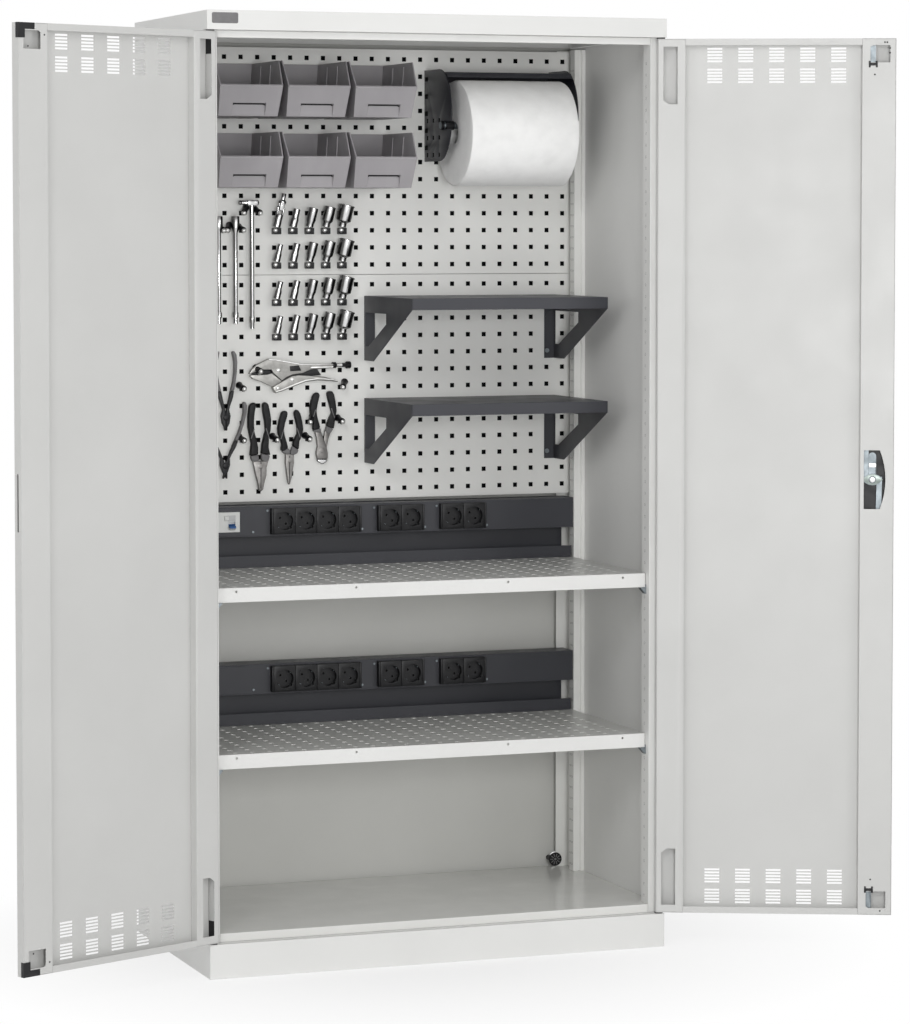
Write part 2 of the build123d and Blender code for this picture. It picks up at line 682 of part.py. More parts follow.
def make_roll_holder():
    """Two rounded cheeks on the panel, joined by a folded top with a tear edge."""
    back_y = PANEL_FACE_Y - SEAT
    front_y = back_y - CHEEK_REACH
    middle_z = CHEEK_TOP - CHEEK_HEIGHT / 2
    bottom_z = CHEEK_TOP - CHEEK_HEIGHT
    slot_z = ROLL_Z + ROLL_CORE_RADIUS - SPINDLE_RADIUS
    with BuildPart() as cheeks:
        for x, flange in ((CHEEK_X, 1), (CHEEK_X + HOLDER_LENGTH, -1)):
            plane = Plane(origin=(x, 0, 0), x_dir=(0, 1, 0), z_dir=(1, 0, 0))
            with BuildSketch(plane):
                with BuildLine():
                    Line((back_y, CHEEK_TOP), (back_y - 95, CHEEK_TOP))
                    ThreePointArc((back_y - 95, CHEEK_TOP), (front_y, middle_z), (back_y - 95, bottom_z))
                    Line((back_y - 95, bottom_z), (back_y, bottom_z))
                    Line((back_y, bottom_z), (back_y, CHEEK_TOP))
                make_face()
                with Locations(((front_y + ROLL_Y + SPINDLE_RADIUS + SEAT) / 2, slot_z)):
                    slot_depth = ROLL_Y + SPINDLE_RADIUS + SEAT - front_y
                    Rectangle(slot_depth, 2 * SPINDLE_RADIUS + 2 * SEAT, mode=Mode.SUBTRACT)
                with Locations((back_y - 57, middle_z - HOLE_PITCH)):
                    with GridLocations(HOLE_PITCH, HOLE_PITCH, 3, 3):
                        Rectangle(14, 4, mode=Mode.SUBTRACT)
            extrude(amount=BRACKET_SHEET * flange)
            flange_x = x if flange > 0 else x - 20
            block(flange_x, flange_x + 20, back_y - BRACKET_SHEET, back_y, bottom_z + 8, CHEEK_TOP - 8)
    save(cheeks, "roll_holder_cheeks")
    inner_x = CHEEK_X + BRACKET_SHEET + SEAT
    with BuildPart() as top:
        plane = Plane(origin=(inner_x, 0, 0), x_dir=(0, 1, 0), z_dir=(1, 0, 0))
        edge_y = ROLL_Y - 22
        rear_y = back_y - BRACKET_SHEET - SEAT
        section = (
            (rear_y, CHEEK_TOP - 26),
            (rear_y, CHEEK_TOP - 2),
            (edge_y + 12, CHEEK_TOP - 8),
            (edge_y, CHEEK_TOP - 18),
        )
        length = HOLDER_LENGTH - 2 * (BRACKET_SHEET + SEAT)
        extrude(bent_sheet(plane, section, BRACKET_SHEET, Side.LEFT), amount=length)
    save(top, "roll_holder_top")
    with BuildPart() as spindle:
        with BuildSketch(Plane(origin=(CHEEK_X - 8, ROLL_Y, slot_z), x_dir=(0, 1, 0), z_dir=(1, 0, 0))):
            Circle(SPINDLE_RADIUS)
        extrude(amount=HOLDER_LENGTH + 16)
    save(spindle, "roll_spindle")
    with BuildPart() as roll:
        start_x = CHEEK_X + (HOLDER_LENGTH - ROLL_LENGTH) / 2
        with BuildSketch(Plane(origin=(start_x, ROLL_Y, ROLL_Z), x_dir=(0, 1, 0), z_dir=(1, 0, 0))):
            Circle(ROLL_RADIUS)
            Circle(ROLL_CORE_RADIUS + SEAT, mode=Mode.SUBTRACT)
        extrude(amount=ROLL_LENGTH)
    save(roll, "paper_roll")


# Tool shelves on the perforated panels


def make_tool_shelf(level: str):
    """Small shelf with folded front and side lips, hung between its brackets."""
    top = TOOL_SHELF_TOPS[level]
    left = TOOL_SHELF_LEFT + BRACKET_SHEET + SEAT
    right = TOOL_SHELF_LEFT + TOOL_SHELF_LENGTH - BRACKET_SHEET - SEAT
    back_y = PANEL_FACE_Y - SEAT
    with BuildPart() as shelf:
        block(left, right, back_y - TOOL_SHELF_REACH, back_y, top - TOOL_SHELF_LIP, top)
        offset(amount=-1.5, openings=shelf.faces().sort_by(Axis.Z)[0])
    save(shelf, f"{level}_tool_shelf")


def make_tool_shelf_brackets():
    """Triangular brackets with a window, an inward flange and pegs in the panel's holes."""
    back_y = PANEL_FACE_Y - SEAT
    front_y = back_y - TOOL_SHELF_REACH
    with BuildPart() as brackets:
        for level, top in TOOL_SHELF_TOPS.items():
            for x, inward in ((TOOL_SHELF_LEFT, 1), (TOOL_SHELF_LEFT + TOOL_SHELF_LENGTH, -1)):
                plane = Plane(origin=(x, 0, 0), x_dir=(0, 1, 0), z_dir=(1, 0, 0))
                with BuildSketch(plane):
                    with BuildLine():
                        Polyline(
                            (back_y, top - BRACKET_HEIGHT), (back_y, top), (front_y, top),
                            (front_y, top - TOOL_SHELF_LIP), (back_y - 62, top - BRACKET_HEIGHT), close=True,
                        )
                    make_face()
                    with BuildLine():
                        Polyline(
                            (back_y - 8, top - 37), (back_y - 148, top - 37), (back_y - 148, top - 60),
                            (back_y - 30, top - 112), (back_y - 8, top - 112), close=True,
                        )
                    make_face(mode=Mode.SUBTRACT)
                extrude(amount=BRACKET_SHEET * inward)
                flange_x = x if inward > 0 else x - BRACKET_FLANGE
                block(
                    flange_x, flange_x + BRACKET_FLANGE,
                    back_y - BRACKET_SHEET, back_y,
                    top - BRACKET_HEIGHT, top - TOOL_SHELF_LIP - 6,
                )
                peg_x = x + inward * HOLE_PITCH / 2
                peg_z = top - BRACKET_PEG_DROP
                block(
                    peg_x - PEG_SIZE / 2, peg_x + PEG_SIZE / 2,
                    back_y, back_y + 6,
                    peg_z - PEG_SIZE / 2, peg_z + PEG_SIZE / 2,
                )
    save(brackets, "tool_shelf_brackets")


# Bins


def make_bin_rails():
    """Stepped rails, pegged in the panel, that the bins' hooks drop behind."""
    back_y = PANEL_FACE_Y - SEAT
    left = BIN_COLUMN_X["left"] - BIN_PITCH / 2
    right = BIN_COLUMN_X["right"] + BIN_PITCH / 2
    with BuildPart() as rails:
        for row, top in BIN_ROW_TOP.items():
            foot_z = top - 72
            section = (
                (back_y, foot_z),
                (back_y, foot_z + 22),
                (RAIL_FRONT_Y + RAIL_SHEET, foot_z + 22),
                (RAIL_FRONT_Y + RAIL_SHEET, top - 3 - SEAT),
            )
            plane = Plane(origin=(left, 0, 0), x_dir=(0, 1, 0), z_dir=(1, 0, 0))
            extrude(bent_sheet(plane, section, RAIL_SHEET, Side.LEFT), amount=right - left)
            peg_z = hole_z("upper", BIN_PEG_ROWS[row])
            with Locations(*[(hole_x(column), back_y + 3, peg_z) for column in BIN_PEG_COLUMNS]):
                Box(PEG_SIZE, 6, PEG_SIZE)
    save(rails, "bin_rails")


def make_bin(row: str, column: str):
    """Open-fronted bin, drawn from its tapered body, its sloped front and its rear hook."""
    top = BIN_ROW_TOP[row]
    centre_x = BIN_COLUMN_X[column]
    base = top - BIN_HEIGHT
    lip_z = top - BIN_LIP_DROP
    base_front_y = BIN_FRONT_Y + BIN_BASE_SETBACK
    lean = BIN_BASE_SETBACK / (BIN_HEIGHT - BIN_LIP_DROP)
    plane = Plane(origin=(centre_x, 0, 0), x_dir=(0, 1, 0), z_dir=(1, 0, 0))
    front = Plane(origin=(centre_x, 0, base), x_dir=(1, 0, 0), z_dir=(0, -1, 0))
    with BuildPart() as storage:
        profile = outline(
            plane,
            (
                (base_front_y, base), (BIN_BACK_Y, base), (BIN_BACK_Y, top),
                (BIN_FRONT_Y + BIN_SLOPE_RUN, top), (BIN_FRONT_Y, lip_z),
            ),
        )
        extrude(profile, amount=BIN_RIM_WIDTH / 2, both=True)
        taper = outline(
            front,
            (
                (-BIN_BASE_WIDTH / 2, 0), (BIN_BASE_WIDTH / 2, 0),
                (BIN_RIM_WIDTH / 2, BIN_HEIGHT), (-BIN_RIM_WIDTH / 2, BIN_HEIGHT),
            ),
        )
        extrude(taper, amount=2 * BIN_BACK_Y, both=True, mode=Mode.INTERSECT)
        upper_faces = storage.faces().filter_by(lambda face: face.normal_at().Z > 0.3)
        offset(amount=-BIN_WALL, openings=upper_faces)
        hook_back_y = RAIL_FRONT_Y + RAIL_SHEET + 2.5
        hook = outline(
            plane,
            (
                (BIN_BACK_Y - 1, top - 3), (BIN_BACK_Y - 1, top), (hook_back_y, top),
                (hook_back_y, top - 18), (hook_back_y - 2, top - 18), (hook_back_y - 2, top - 3),
            ),
        )
        extrude(hook, amount=BIN_BASE_WIDTH / 2 - 8, both=True)
        grip_top = base + BIN_GRIP_HEIGHT
        grip_front_y = base_front_y - lean * BIN_GRIP_HEIGHT
        rest = outline(
            plane,
            (
                (base_front_y + 0.5, base),
                (grip_front_y + BIN_GRIP_DEPTH + BIN_WALL, grip_top + BIN_WALL),
                (grip_front_y + 0.5, grip_top + BIN_WALL),
            ),
        )
        extrude(rest, amount=BIN_GRIP_WIDTH / 2 + BIN_WALL, both=True)
        grip = outline(
            plane,
            (
                (base_front_y, base + 0.8), (grip_front_y + BIN_GRIP_DEPTH, grip_top),
                (grip_front_y - 3, grip_top), (base_front_y - 3, base + 0.8),
            ),
        )
        extrude(grip, amount=BIN_GRIP_WIDTH / 2, both=True, mode=Mode.SUBTRACT)
    save(storage, f"{row}_bin_{column}")


# Hooks, clips and hanging tools


def make_socket_clips():
    """Spring clips, pegged in the panel, that the drive sockets stand on."""
    back_y = PANEL_FACE_Y - SEAT
    with BuildPart() as clips:
        for panel, row in SOCKET_ROWS:
            for column in SOCKET_COLUMNS:
                x = hole_x(column)
                z = hole_z(panel, row)
                block(x - 8.5, x + 8.5, back_y - 18, back_y, z - 8, z + 6)
                half = PEG_SIZE / 2
                block(x - half, x + half, back_y, back_y + 6, z - half, z + half)
    save(clips, "socket_clips")


def make_drive_sockets():
    """Graded sockets standing tilted on their clips, with a universal joint in the first place."""
    back_y = PANEL_FACE_Y - SEAT
    with BuildPart() as sockets:
        for line, (panel, row) in enumerate(SOCKET_ROWS):
            for place, column in enumerate(SOCKET_COLUMNS):
                radius = SOCKET_RADII[place]
                length = 76 if (line, place) == (0, 0) else SOCKET_LENGTH
                foot_radius = min(radius, 8.5)
                foot_z = hole_z(panel, row) + 6.15 + foot_radius * sin(radians(SOCKET_LEAN))
                foot = Plane(
                    origin=(hole_x(column), back_y - SOCKET_STAND_OFF, foot_z),
                    x_dir=(cos(radians(SOCKET_LEAN)), 0, -sin(radians(SOCKET_LEAN))),
                    z_dir=(sin(radians(SOCKET_LEAN)), 0, cos(radians(SOCKET_LEAN))),
                )
                with BuildSketch(foot):
                    RegularPolygon(foot_radius, 12)
                extrude(amount=12)
                with BuildSketch(foot.offset(12)):
                    RegularPolygon(radius, 12)
                extrude(amount=length - 12)
    save(sockets, "drive_sockets")


def make_tool_pegs():
    """Tapered pegs with a square foot in the panel's holes."""
    back_y = PANEL_FACE_Y - SEAT
    with BuildPart() as pegs:
        for panel, column, row in TOOL_PEGS:
            x = hole_x(column)
            z = hole_z(panel, row)
            with BuildSketch(Plane(origin=(x, back_y, z), x_dir=(1, 0, 0), z_dir=(0, -1, 0))):
                RegularPolygon(PEG_BASE_RADIUS, 8)
            extrude(amount=PEG_REACH, taper=PEG_TAPER)
            block(x - PEG_SIZE / 2, x + PEG_SIZE / 2, back_y, back_y + 6, z - PEG_SIZE / 2, z + PEG_SIZE / 2)
    save(pegs, "tool_pegs")


def make_drive_bars():
    """Two extension bars and one sliding T-bar, hung by their heads between the pegs."""
    with BuildPart() as bars:
        for place, (x, seat_z, length) in enumerate(DRIVE_BARS):
            shaft = Plane(origin=(x, BAR_Y, seat_z), z_dir=(0, 0, -1))
            with BuildSketch(shaft):
                RegularPolygon(4.5, 10)
            extrude(amount=length)
            with BuildSketch(shaft):
                RegularPolygon(BAR_COLLAR_RADIUS, 12)
            extrude(amount=-BAR_COLLAR_LENGTH)
            with BuildSketch(shaft.offset(-BAR_COLLAR_LENGTH)):
                RegularPolygon(7.5, 12)
            extrude(amount=-20)
            with BuildSketch(shaft.offset(length)):
                Rectangle(10, 10)
            extrude(amount=14)
            if place == 0:
                cross_plane = Plane(origin=(x - 42, BAR_Y, seat_z + 16), x_dir=(0, 1, 0), z_dir=(1, 0, 0))
                with BuildSketch(cross_plane):
                    RegularPolygon(4.5, 10)
                extrude(amount=84)
    save(bars, "drive_bars")


def make_pliers():
    """Hanging pliers: steel heads and dipped grips, each cut from its flat outline."""
    plane = Plane(origin=(0, PLIERS_Y, 0), x_dir=(1, 0, 0), z_dir=(0, -1, 0))
    with BuildPart() as heads:
        for x, foot_z, _, _, _, profile in HANGING_PLIERS:
            points = [(x + a, foot_z - drop) for a, drop in profile]
            points += [(x - a, foot_z - drop) for a, drop in reversed(profile)]
            points.append((x, foot_z - 18))
            extrude(outline(plane, points), amount=4, both=True)
    save(heads, "pliers_heads")
    with BuildPart() as grips:
        for x, foot_z, length, foot_half, waist_half, _ in HANGING_PLIERS:
            for direction in (LEFT, RIGHT):
                right_side = (
                    (foot_half, SEAT), (waist_half, 0.45 * length),
                    (22, length - 4), (18, length), (12, length),
                    (10, length - 6), (waist_half - 13, 0.5 * length), (7, SEAT),
                )
                points = [(x + direction * a, foot_z + b) for a, b in right_side]
                extrude(outline(plane, points), amount=6, both=True)
    save(grips, "pliers_grips")


def make_locking_pliers():
    """Locking pliers: the upper jaw lies on a peg and the handles on another one."""
    profile = (
        (-271, 1248), (-262, 1256), (-245, 1263), (-227, 1265), (-200, 1258), (-150, 1253), (-77, 1253),
        (-77, 1250), (-33, 1250), (-33, 1240), (-77, 1240), (-77, 1237), (-150, 1236), (-178, 1228),
        (-150, 1221), (-100, 1221), (-48, 1217), (-48, 1210.5), (-100, 1210.5), (-138, 1203), (-213, 1188),
        (-237, 1206), (-252, 1222), (-268, 1225), (-233, 1225), (-231, 1248),
    )
    plane = Plane(origin=(0, PANEL_FACE_Y - SEAT - 5, 0), x_dir=(1, 0, 0), z_dir=(0, -1, 0))
    with BuildPart() as pliers:
        extrude(outline(plane, profile), amount=5, both=True)
    save(pliers, "locking_pliers")


def make_circlip_pliers():
    """Two circlip pliers with long curved handles that hang between the pegs."""
    plane = Plane(origin=(0, PANEL_FACE_Y - SEAT - 4, 0), x_dir=(1, 0, 0), z_dir=(0, -1, 0))
    with BuildPart() as pliers:
        for x, pivot_z, height in CIRCLIP_PLIERS:
            right_side = (
                (3, -58), (9, -4), (14, 22), (25, 52), (25, 72), (18, height),
                (10, height), (16, 70), (16, 54), (2, 18),
            )
            points = [(x + a, pivot_z + b) for a, b in right_side]
            points += [(x - a, pivot_z + b) for a, b in reversed(right_side)]
            extrude(outline(plane, points), amount=4, both=True)
    save(pliers, "circlip_pliers")


def make_cable_gland():
    """Finned cable grommet pressed in the back sheet."""
    face_y = BACK_Y - 2 * SHEET - SEAT
    plane = Plane(origin=(GLAND_X, face_y - SEAT, GLAND_Z), x_dir=(1, 0, 0), z_dir=(0, -1, 0))
    with BuildPart() as gland:
        with BuildSketch(plane):
            RegularPolygon(GLAND_RADIUS, 32)
            with PolarLocations(GLAND_RADIUS * 0.55, 10):
                Rectangle(8, 2.5, mode=Mode.SUBTRACT)
        extrude(amount=2.5)
        with BuildSketch(plane):
            RegularPolygon(GLAND_NECK_RADIUS, 24)
            RegularPolygon(GLAND_NECK_RADIUS - 2, 24, mode=Mode.SUBTRACT)
        extrude(amount=-2.5)
    save(gland, "cable_gland")


# Doors


def leaf_plane(side: int) -> Plane:
    """Door frame: x from the pivot to the free edge, z up, inside at y = -side * b."""
    lean = radians(DOOR_TILT)
    along = (side * cos(lean), -sin(lean), 0)
    return Plane(origin=(side * PIVOT_X, PIVOT_Y, 0), x_dir=along, z_dir=(0, 0, 1))


def face_plane(side: int, b: float) -> Plane:
    """Upright plane in the door's inner face direction: x is a, y is z, normal points inside."""
    leaf = leaf_plane(side)
    inward = leaf.y_dir * -side
    origin = leaf.origin + inward * b
    return Plane(origin=origin, x_dir=leaf.x_dir * 1, z_dir=inward)


def leaf_block(side: int, a0, a1, b0, b1, z0, z1, mode=Mode.ADD):
    """Rectangular solid in door coordinates, in an active part on the door's plane."""
    y0, y1 = sorted((-side * b0, -side * b1))
    block(a0, a1, y0, y1, z0, z1, mode)


def face_outline(side: int, b: float, points) -> Sketch:
    """Closed outline drawn on the door's face from (a, z) points."""
    plane = face_plane(side, b)
    flip = 1 if plane.y_dir.Z > 0 else -1
    return outline(plane, [(a, flip * z) for a, z in points])


def make_door_skin(side: int, name: str):
    """Outer sheet with folded edges, lips at its ends, vent slots and the latch's openings."""
    with BuildPart(leaf_plane(side)) as skin:
        leaf_block(side, -HINGE_OVERHANG, FREE_EDGE, OUTER_FACE, INNER_FACE, DOOR_BOTTOM, DOOR_TOP)
        inner = skin.faces().filter_by(lambda face: face.area > 0.9 * DOOR_LENGTH * FREE_EDGE)
        inner_face = inner.sort_by(Axis.Y)[0]
        offset(amount=-DOOR_SHEET, openings=inner_face)
        lip_a0 = HINGE_STILE_WIDTH - HINGE_OVERHANG + SEAT
        lip_a1 = FREE_STILE_A - SEAT
        leaf_block(side, lip_a0, lip_a1, DOOR_INSIDE, INNER_FACE, DOOR_TOP - LIP_WIDTH, DOOR_TOP)
        leaf_block(side, lip_a0, lip_a1, DOOR_INSIDE, INNER_FACE, DOOR_BOTTOM, DOOR_BOTTOM + LIP_WIDTH)
        middle_a = (FREE_EDGE - HINGE_OVERHANG) / 2
        slots = []
        for from_end in (VENT_ROW_FROM_END, VENT_ROW_FROM_END + VENT_ROW_PITCH):
            for row_z in (DOOR_BOTTOM + from_end, DOOR_TOP - from_end):
                for group in range(VENT_GROUPS):
                    a = middle_a + (group - (VENT_GROUPS - 1) / 2) * VENT_GROUP_PITCH
                    for slot in range(VENT_SLOTS):
                        z = row_z + (slot - (VENT_SLOTS - 1) / 2) * VENT_PITCH
                        slots.append((a, -side * OUTER_FACE, z))
        with Locations(*slots):
            Box(VENT_LENGTH, 3 * DOOR_SHEET, VENT_SLOT, mode=Mode.SUBTRACT)
        strike = (FREE_EDGE - 3, FREE_EDGE + 1, -STRIKE_SLOT_WIDTH / 2, STRIKE_SLOT_WIDTH / 2)
        strike_z = (HUB_HEIGHT - STRIKE_SLOT_HEIGHT / 2, HUB_HEIGHT + STRIKE_SLOT_HEIGHT / 2)
        leaf_block(side, *strike, *strike_z, Mode.SUBTRACT)
        pin_y = 0
        with Locations((0, pin_y, DOOR_TOP), (0, pin_y, DOOR_BOTTOM)):
            Cylinder(PIN_RADIUS + PIN_CLEARANCE, 6, mode=Mode.SUBTRACT)
        if side == RIGHT:
            rod_b = ROD_B + ROD_THICKNESS / 2
            for z in (DOOR_TOP, DOOR_BOTTOM):
                leaf_block(
                    side, ROD_END_A - ROD_WIDTH / 2 - 2, ROD_END_A + ROD_WIDTH / 2 + 2,
                    rod_b - 2.5, rod_b + 2.5, z - 3, z + 3, Mode.SUBTRACT,
                )
            leaf_block(
                side, HOUSING_A - HOUSING_HALF_WIDTH - SEAT, HOUSING_A + HOUSING_HALF_WIDTH + SEAT,
                OUTER_FACE - 2, OUTER_FACE + 3,
                HUB_HEIGHT - HOUSING_HALF_HEIGHT - SEAT, HUB_HEIGHT + HOUSING_HALF_HEIGHT + SEAT,
                Mode.SUBTRACT,
            )
    save(skin, name)


def chamfered_window(a0, a1, z0, z1, corner_a, corner_z, size):
    """Rectangle with one corner cut; the cut corner is named by its coordinates."""
    points = []
    for a, z in ((a0, z0), (a1, z0), (a1, z1), (a0, z1)):
        if (a, z) != (corner_a, corner_z):
            points.append((a, z))
            continue
        toward_a = size if a == a0 else -size
        toward_z = size if z == z0 else -size
        cut = [(a, z + 0.7 * toward_z), (a + toward_a, z)]
        if (a == a0) == (z == z0):
            points.extend(cut)
        else:
            points.extend(reversed(cut))
    return points


def make_door_stiles(side: int, name: str):
    """Hinge stile and free stile: channels inside the skin with hinge, rod and latch windows."""
    low = DOOR_BOTTOM + DOOR_SHEET + SEAT
    high = DOOR_TOP - DOOR_SHEET - SEAT
    skin_b = OUTER_FACE + DOOR_SHEET + SEAT
    hinge_a0 = -HINGE_OVERHANG + DOOR_SHEET + SEAT
    hinge_a1 = HINGE_STILE_WIDTH - HINGE_OVERHANG
    free_a1 = FREE_EDGE - DOOR_SHEET - SEAT
    channels = (
        ((hinge_a0, INNER_FACE), (hinge_a1, INNER_FACE), (hinge_a1, skin_b)),
        ((FREE_STILE_A, skin_b), (FREE_STILE_A, INNER_FACE), (free_a1, INNER_FACE), (free_a1, skin_b)),
    )
    bend = Side.LEFT if side == RIGHT else Side.RIGHT
    leaf = leaf_plane(side)
    with BuildPart(leaf) as stiles:
        for channel in channels:
            points = [(a, -side * b) for a, b in channel]
            extrude(bent_sheet(leaf.offset(low), points, DOOR_SHEET, bend), amount=high - low)
        window_a0 = HINGE_WINDOW_FROM_EDGE - HINGE_OVERHANG
        window_a1 = window_a0 + HINGE_WINDOW_WIDTH
        rod_a1 = FREE_EDGE - ROD_WINDOW_FROM_EDGE
        rod_a0 = rod_a1 - ROD_WINDOW_WIDTH
        for end, inward in ((DOOR_BOTTOM, 1), (DOOR_TOP, -1)):
            near = end + inward * HINGE_WINDOW_FROM_END
            far = near + inward * HINGE_WINDOW_HEIGHT
            window = chamfered_window(
                window_a0, window_a1, min(near, far), max(near, far), window_a0, far, HINGE_WINDOW_CHAMFER,
            )
            extrude(face_outline(side, INNER_FACE + 1, window), amount=-4, mode=Mode.SUBTRACT)
            near = end + inward * ROD_WINDOW_FROM_END
            far = near + inward * ROD_WINDOW_HEIGHT
            window = chamfered_window(rod_a0, rod_a1, min(near, far), max(near, far), rod_a0, near, 5)
            extrude(face_outline(side, INNER_FACE + 1, window), amount=-4, mode=Mode.SUBTRACT)
        leaf_block(
            side, FREE_EDGE - 6, FREE_EDGE + 1, -STRIKE_SLOT_WIDTH / 2, STRIKE_SLOT_WIDTH / 2,
            HUB_HEIGHT - STRIKE_SLOT_HEIGHT / 2, HUB_HEIGHT + STRIKE_SLOT_HEIGHT / 2, Mode.SUBTRACT,
        )
        if side == RIGHT:
            plane = face_plane(side, INNER_FACE + 1)
            flip = 1 if plane.y_dir.Z > 0 else -1
            left_a = HUB_A - 18.5
            low_z = flip * (HUB_HEIGHT - LATCH_WINDOW_HALF_HEIGHT)
            high_z = flip * (HUB_HEIGHT + LATCH_WINDOW_HALF_HEIGHT)
            with BuildSketch(plane) as latch_window:
                with BuildLine():
                    Polyline((HUB_A + 15.5, low_z), (left_a, low_z), (left_a, high_z), (HUB_A + 15.5, high_z))
                    ThreePointArc(
                        (HUB_A + 15.5, high_z), (HUB_A + 27.5, flip * HUB_HEIGHT), (HUB_A + 15.5, low_z),
                    )
                make_face()
            extrude(latch_window.sketch, amount=-4, mode=Mode.SUBTRACT)
    save(stiles, name)


def make_hinge_blocks(side: int, name: str):
    """Moulded pin carriers inside the hinge stile, above and below."""
    skin_b = OUTER_FACE + DOOR_SHEET + SEAT
    hinge_a0 = -HINGE_OVERHANG + DOOR_SHEET + SEAT
    with BuildPart(leaf_plane(side)) as blocks:
        for end, inward in ((DOOR_BOTTOM, 1), (DOOR_TOP, -1)):
            near = end + inward * (DOOR_SHEET + SEAT)
            far = end + inward * HINGE_BLOCK_LENGTH
            a1 = hinge_a0 + HINGE_BLOCK_WIDTH
            leaf_block(side, hinge_a0, a1, skin_b, skin_b + HINGE_SPINE, *sorted((near, far)))
            bearing = sorted((near, near + inward * BEARING_LENGTH))
            leaf_block(side, hinge_a0, a1, skin_b, DOOR_INSIDE - SEAT, *bearing)
            foot = sorted((far - inward * HINGE_FOOT_LENGTH, far))
            leaf_block(side, hinge_a0, a1, skin_b, DOOR_INSIDE - SEAT, *foot)
        with Locations((0, 0, DOOR_BOTTOM), (0, 0, DOOR_TOP)):
            Cylinder(PIN_RADIUS + PIN_CLEARANCE, 2 * PIN_REACH + 2, mode=Mode.SUBTRACT)
    save(blocks, name)


def make_hinge_pins():
    """Four steel pivot pins, fixed in the cap's flange and the plinth's top."""
    with BuildPart() as pins:
        for side in (LEFT, RIGHT):
            for start, end in (
                (CAP_UNDERSIDE + SHEET + 3, DOOR_TOP - PIN_REACH),
                (PLINTH_HEIGHT - SHEET - 3, DOOR_BOTTOM + PIN_REACH),
            ):
                with BuildSketch(Plane.XY.offset(min(start, end))):
                    with Locations((side * PIVOT_X, PIVOT_Y)):
                        Circle(PIN_RADIUS)
                extrude(amount=abs(start - end))
    save(pins, "hinge_pins")


def make_pivot_washers():
    """Black bearing washers round the pins in the gaps above and below the doors."""
    with BuildPart() as washers:
        for side in (LEFT, RIGHT):
            for low in (PLINTH_HEIGHT + SEAT, DOOR_TOP + SEAT):
                with BuildSketch(Plane.XY.offset(low)):
                    with Locations((side * PIVOT_X, PIVOT_Y)):
                        RegularPolygon(WASHER_RADIUS, 24)
                        RegularPolygon(PIN_RADIUS + PIN_CLEARANCE, 12, major_radius=False, mode=Mode.SUBTRACT)
                extrude(amount=DOOR_GAP - 2 * SEAT)
    save(washers, "pivot_washers")


def make_corner_guards():
    """Moulded corner guards on the left door's free corners."""
    with BuildPart(leaf_plane(LEFT)) as guards:
        face = (INNER_FACE + SEAT / 2, INNER_FACE + SEAT / 2 + GUARD_THICKNESS)
        edge_a = FREE_EDGE + SEAT / 2
        for end, inward in ((DOOR_BOTTOM, 1), (DOOR_TOP, -1)):
            arm = sorted((end, end + inward * 13))
            leg = sorted((end, end + inward * 30))
            leaf_block(LEFT, edge_a - 40, edge_a + 0.8, *face, *arm)
            leaf_block(LEFT, edge_a - 16, edge_a + 0.8, *face, *leg)
            leaf_block(LEFT, edge_a, edge_a + 0.8, INNER_FACE - GUARD_EDGE_COVER, face[1], *leg)
    save(guards, "corner_guards")


def make_handle_housing():
    """Black housing of the swing handle: outside flange and the body that fills the skin's opening."""
    with BuildPart(leaf_plane(RIGHT)) as housing:
        half_w, half_h = HOUSING_HALF_WIDTH, HOUSING_HALF_HEIGHT
        leaf_block(
            RIGHT, HOUSING_A - half_w, HOUSING_A + half_w, OUTER_FACE - SEAT, HOUSING_INNER_B,
            HUB_HEIGHT - half_h, HUB_HEIGHT + half_h,
        )
        leaf_block(
            RIGHT, HOUSING_A - half_w - 6, HOUSING_A + half_w + 6, OUTER_FACE - SEAT - 3, OUTER_FACE - SEAT,
            HUB_HEIGHT - half_h - 6, HUB_HEIGHT + half_h + 6,
        )
        with Locations(Location((HUB_A, 0, HUB_HEIGHT), (90, 0, 0))):
            Cylinder(SHAFT_RADIUS + SEAT, 60, mode=Mode.SUBTRACT)
    save(housing, "handle_housing")


def make_swing_handle():
    """Winged handle outside the door with the shaft that turns the latch hub."""
    handle_b = OUTER_FACE - SEAT - 3 - SEAT
    with BuildPart() as handle:
        grip = face_plane(RIGHT, handle_b)
        flip = 1 if grip.y_dir.Z > 0 else -1
        centre = (HUB_A, flip * HUB_HEIGHT)
        with BuildSketch(grip):
            with Locations(centre):
                Circle(KNOB_RADIUS)
                SlotOverall(2 * HANDLE_REACH, 18)
        extrude(amount=-14)
        with BuildSketch(grip):
            with Locations(centre):
                Circle(SHAFT_RADIUS)
        extrude(amount=TONGUE_B - SEAT - handle_b)
        with BuildSketch(grip.offset(-14)):
            with Locations(centre):
                Circle(LOCK_RADIUS + SEAT)
        extrude(amount=9, mode=Mode.SUBTRACT)
    save(handle, "swing_handle")
    with BuildPart() as cylinder:
        with BuildSketch(face_plane(RIGHT, handle_b - 5.3)):
            with Locations(centre):
                Circle(LOCK_RADIUS)
        extrude(amount=-10)
        with BuildSketch(face_plane(RIGHT, handle_b - 15.3)):
            with Locations(centre):
                Rectangle(2, 8)
        extrude(amount=6, mode=Mode.SUBTRACT)
    save(cylinder, "lock_cylinder")


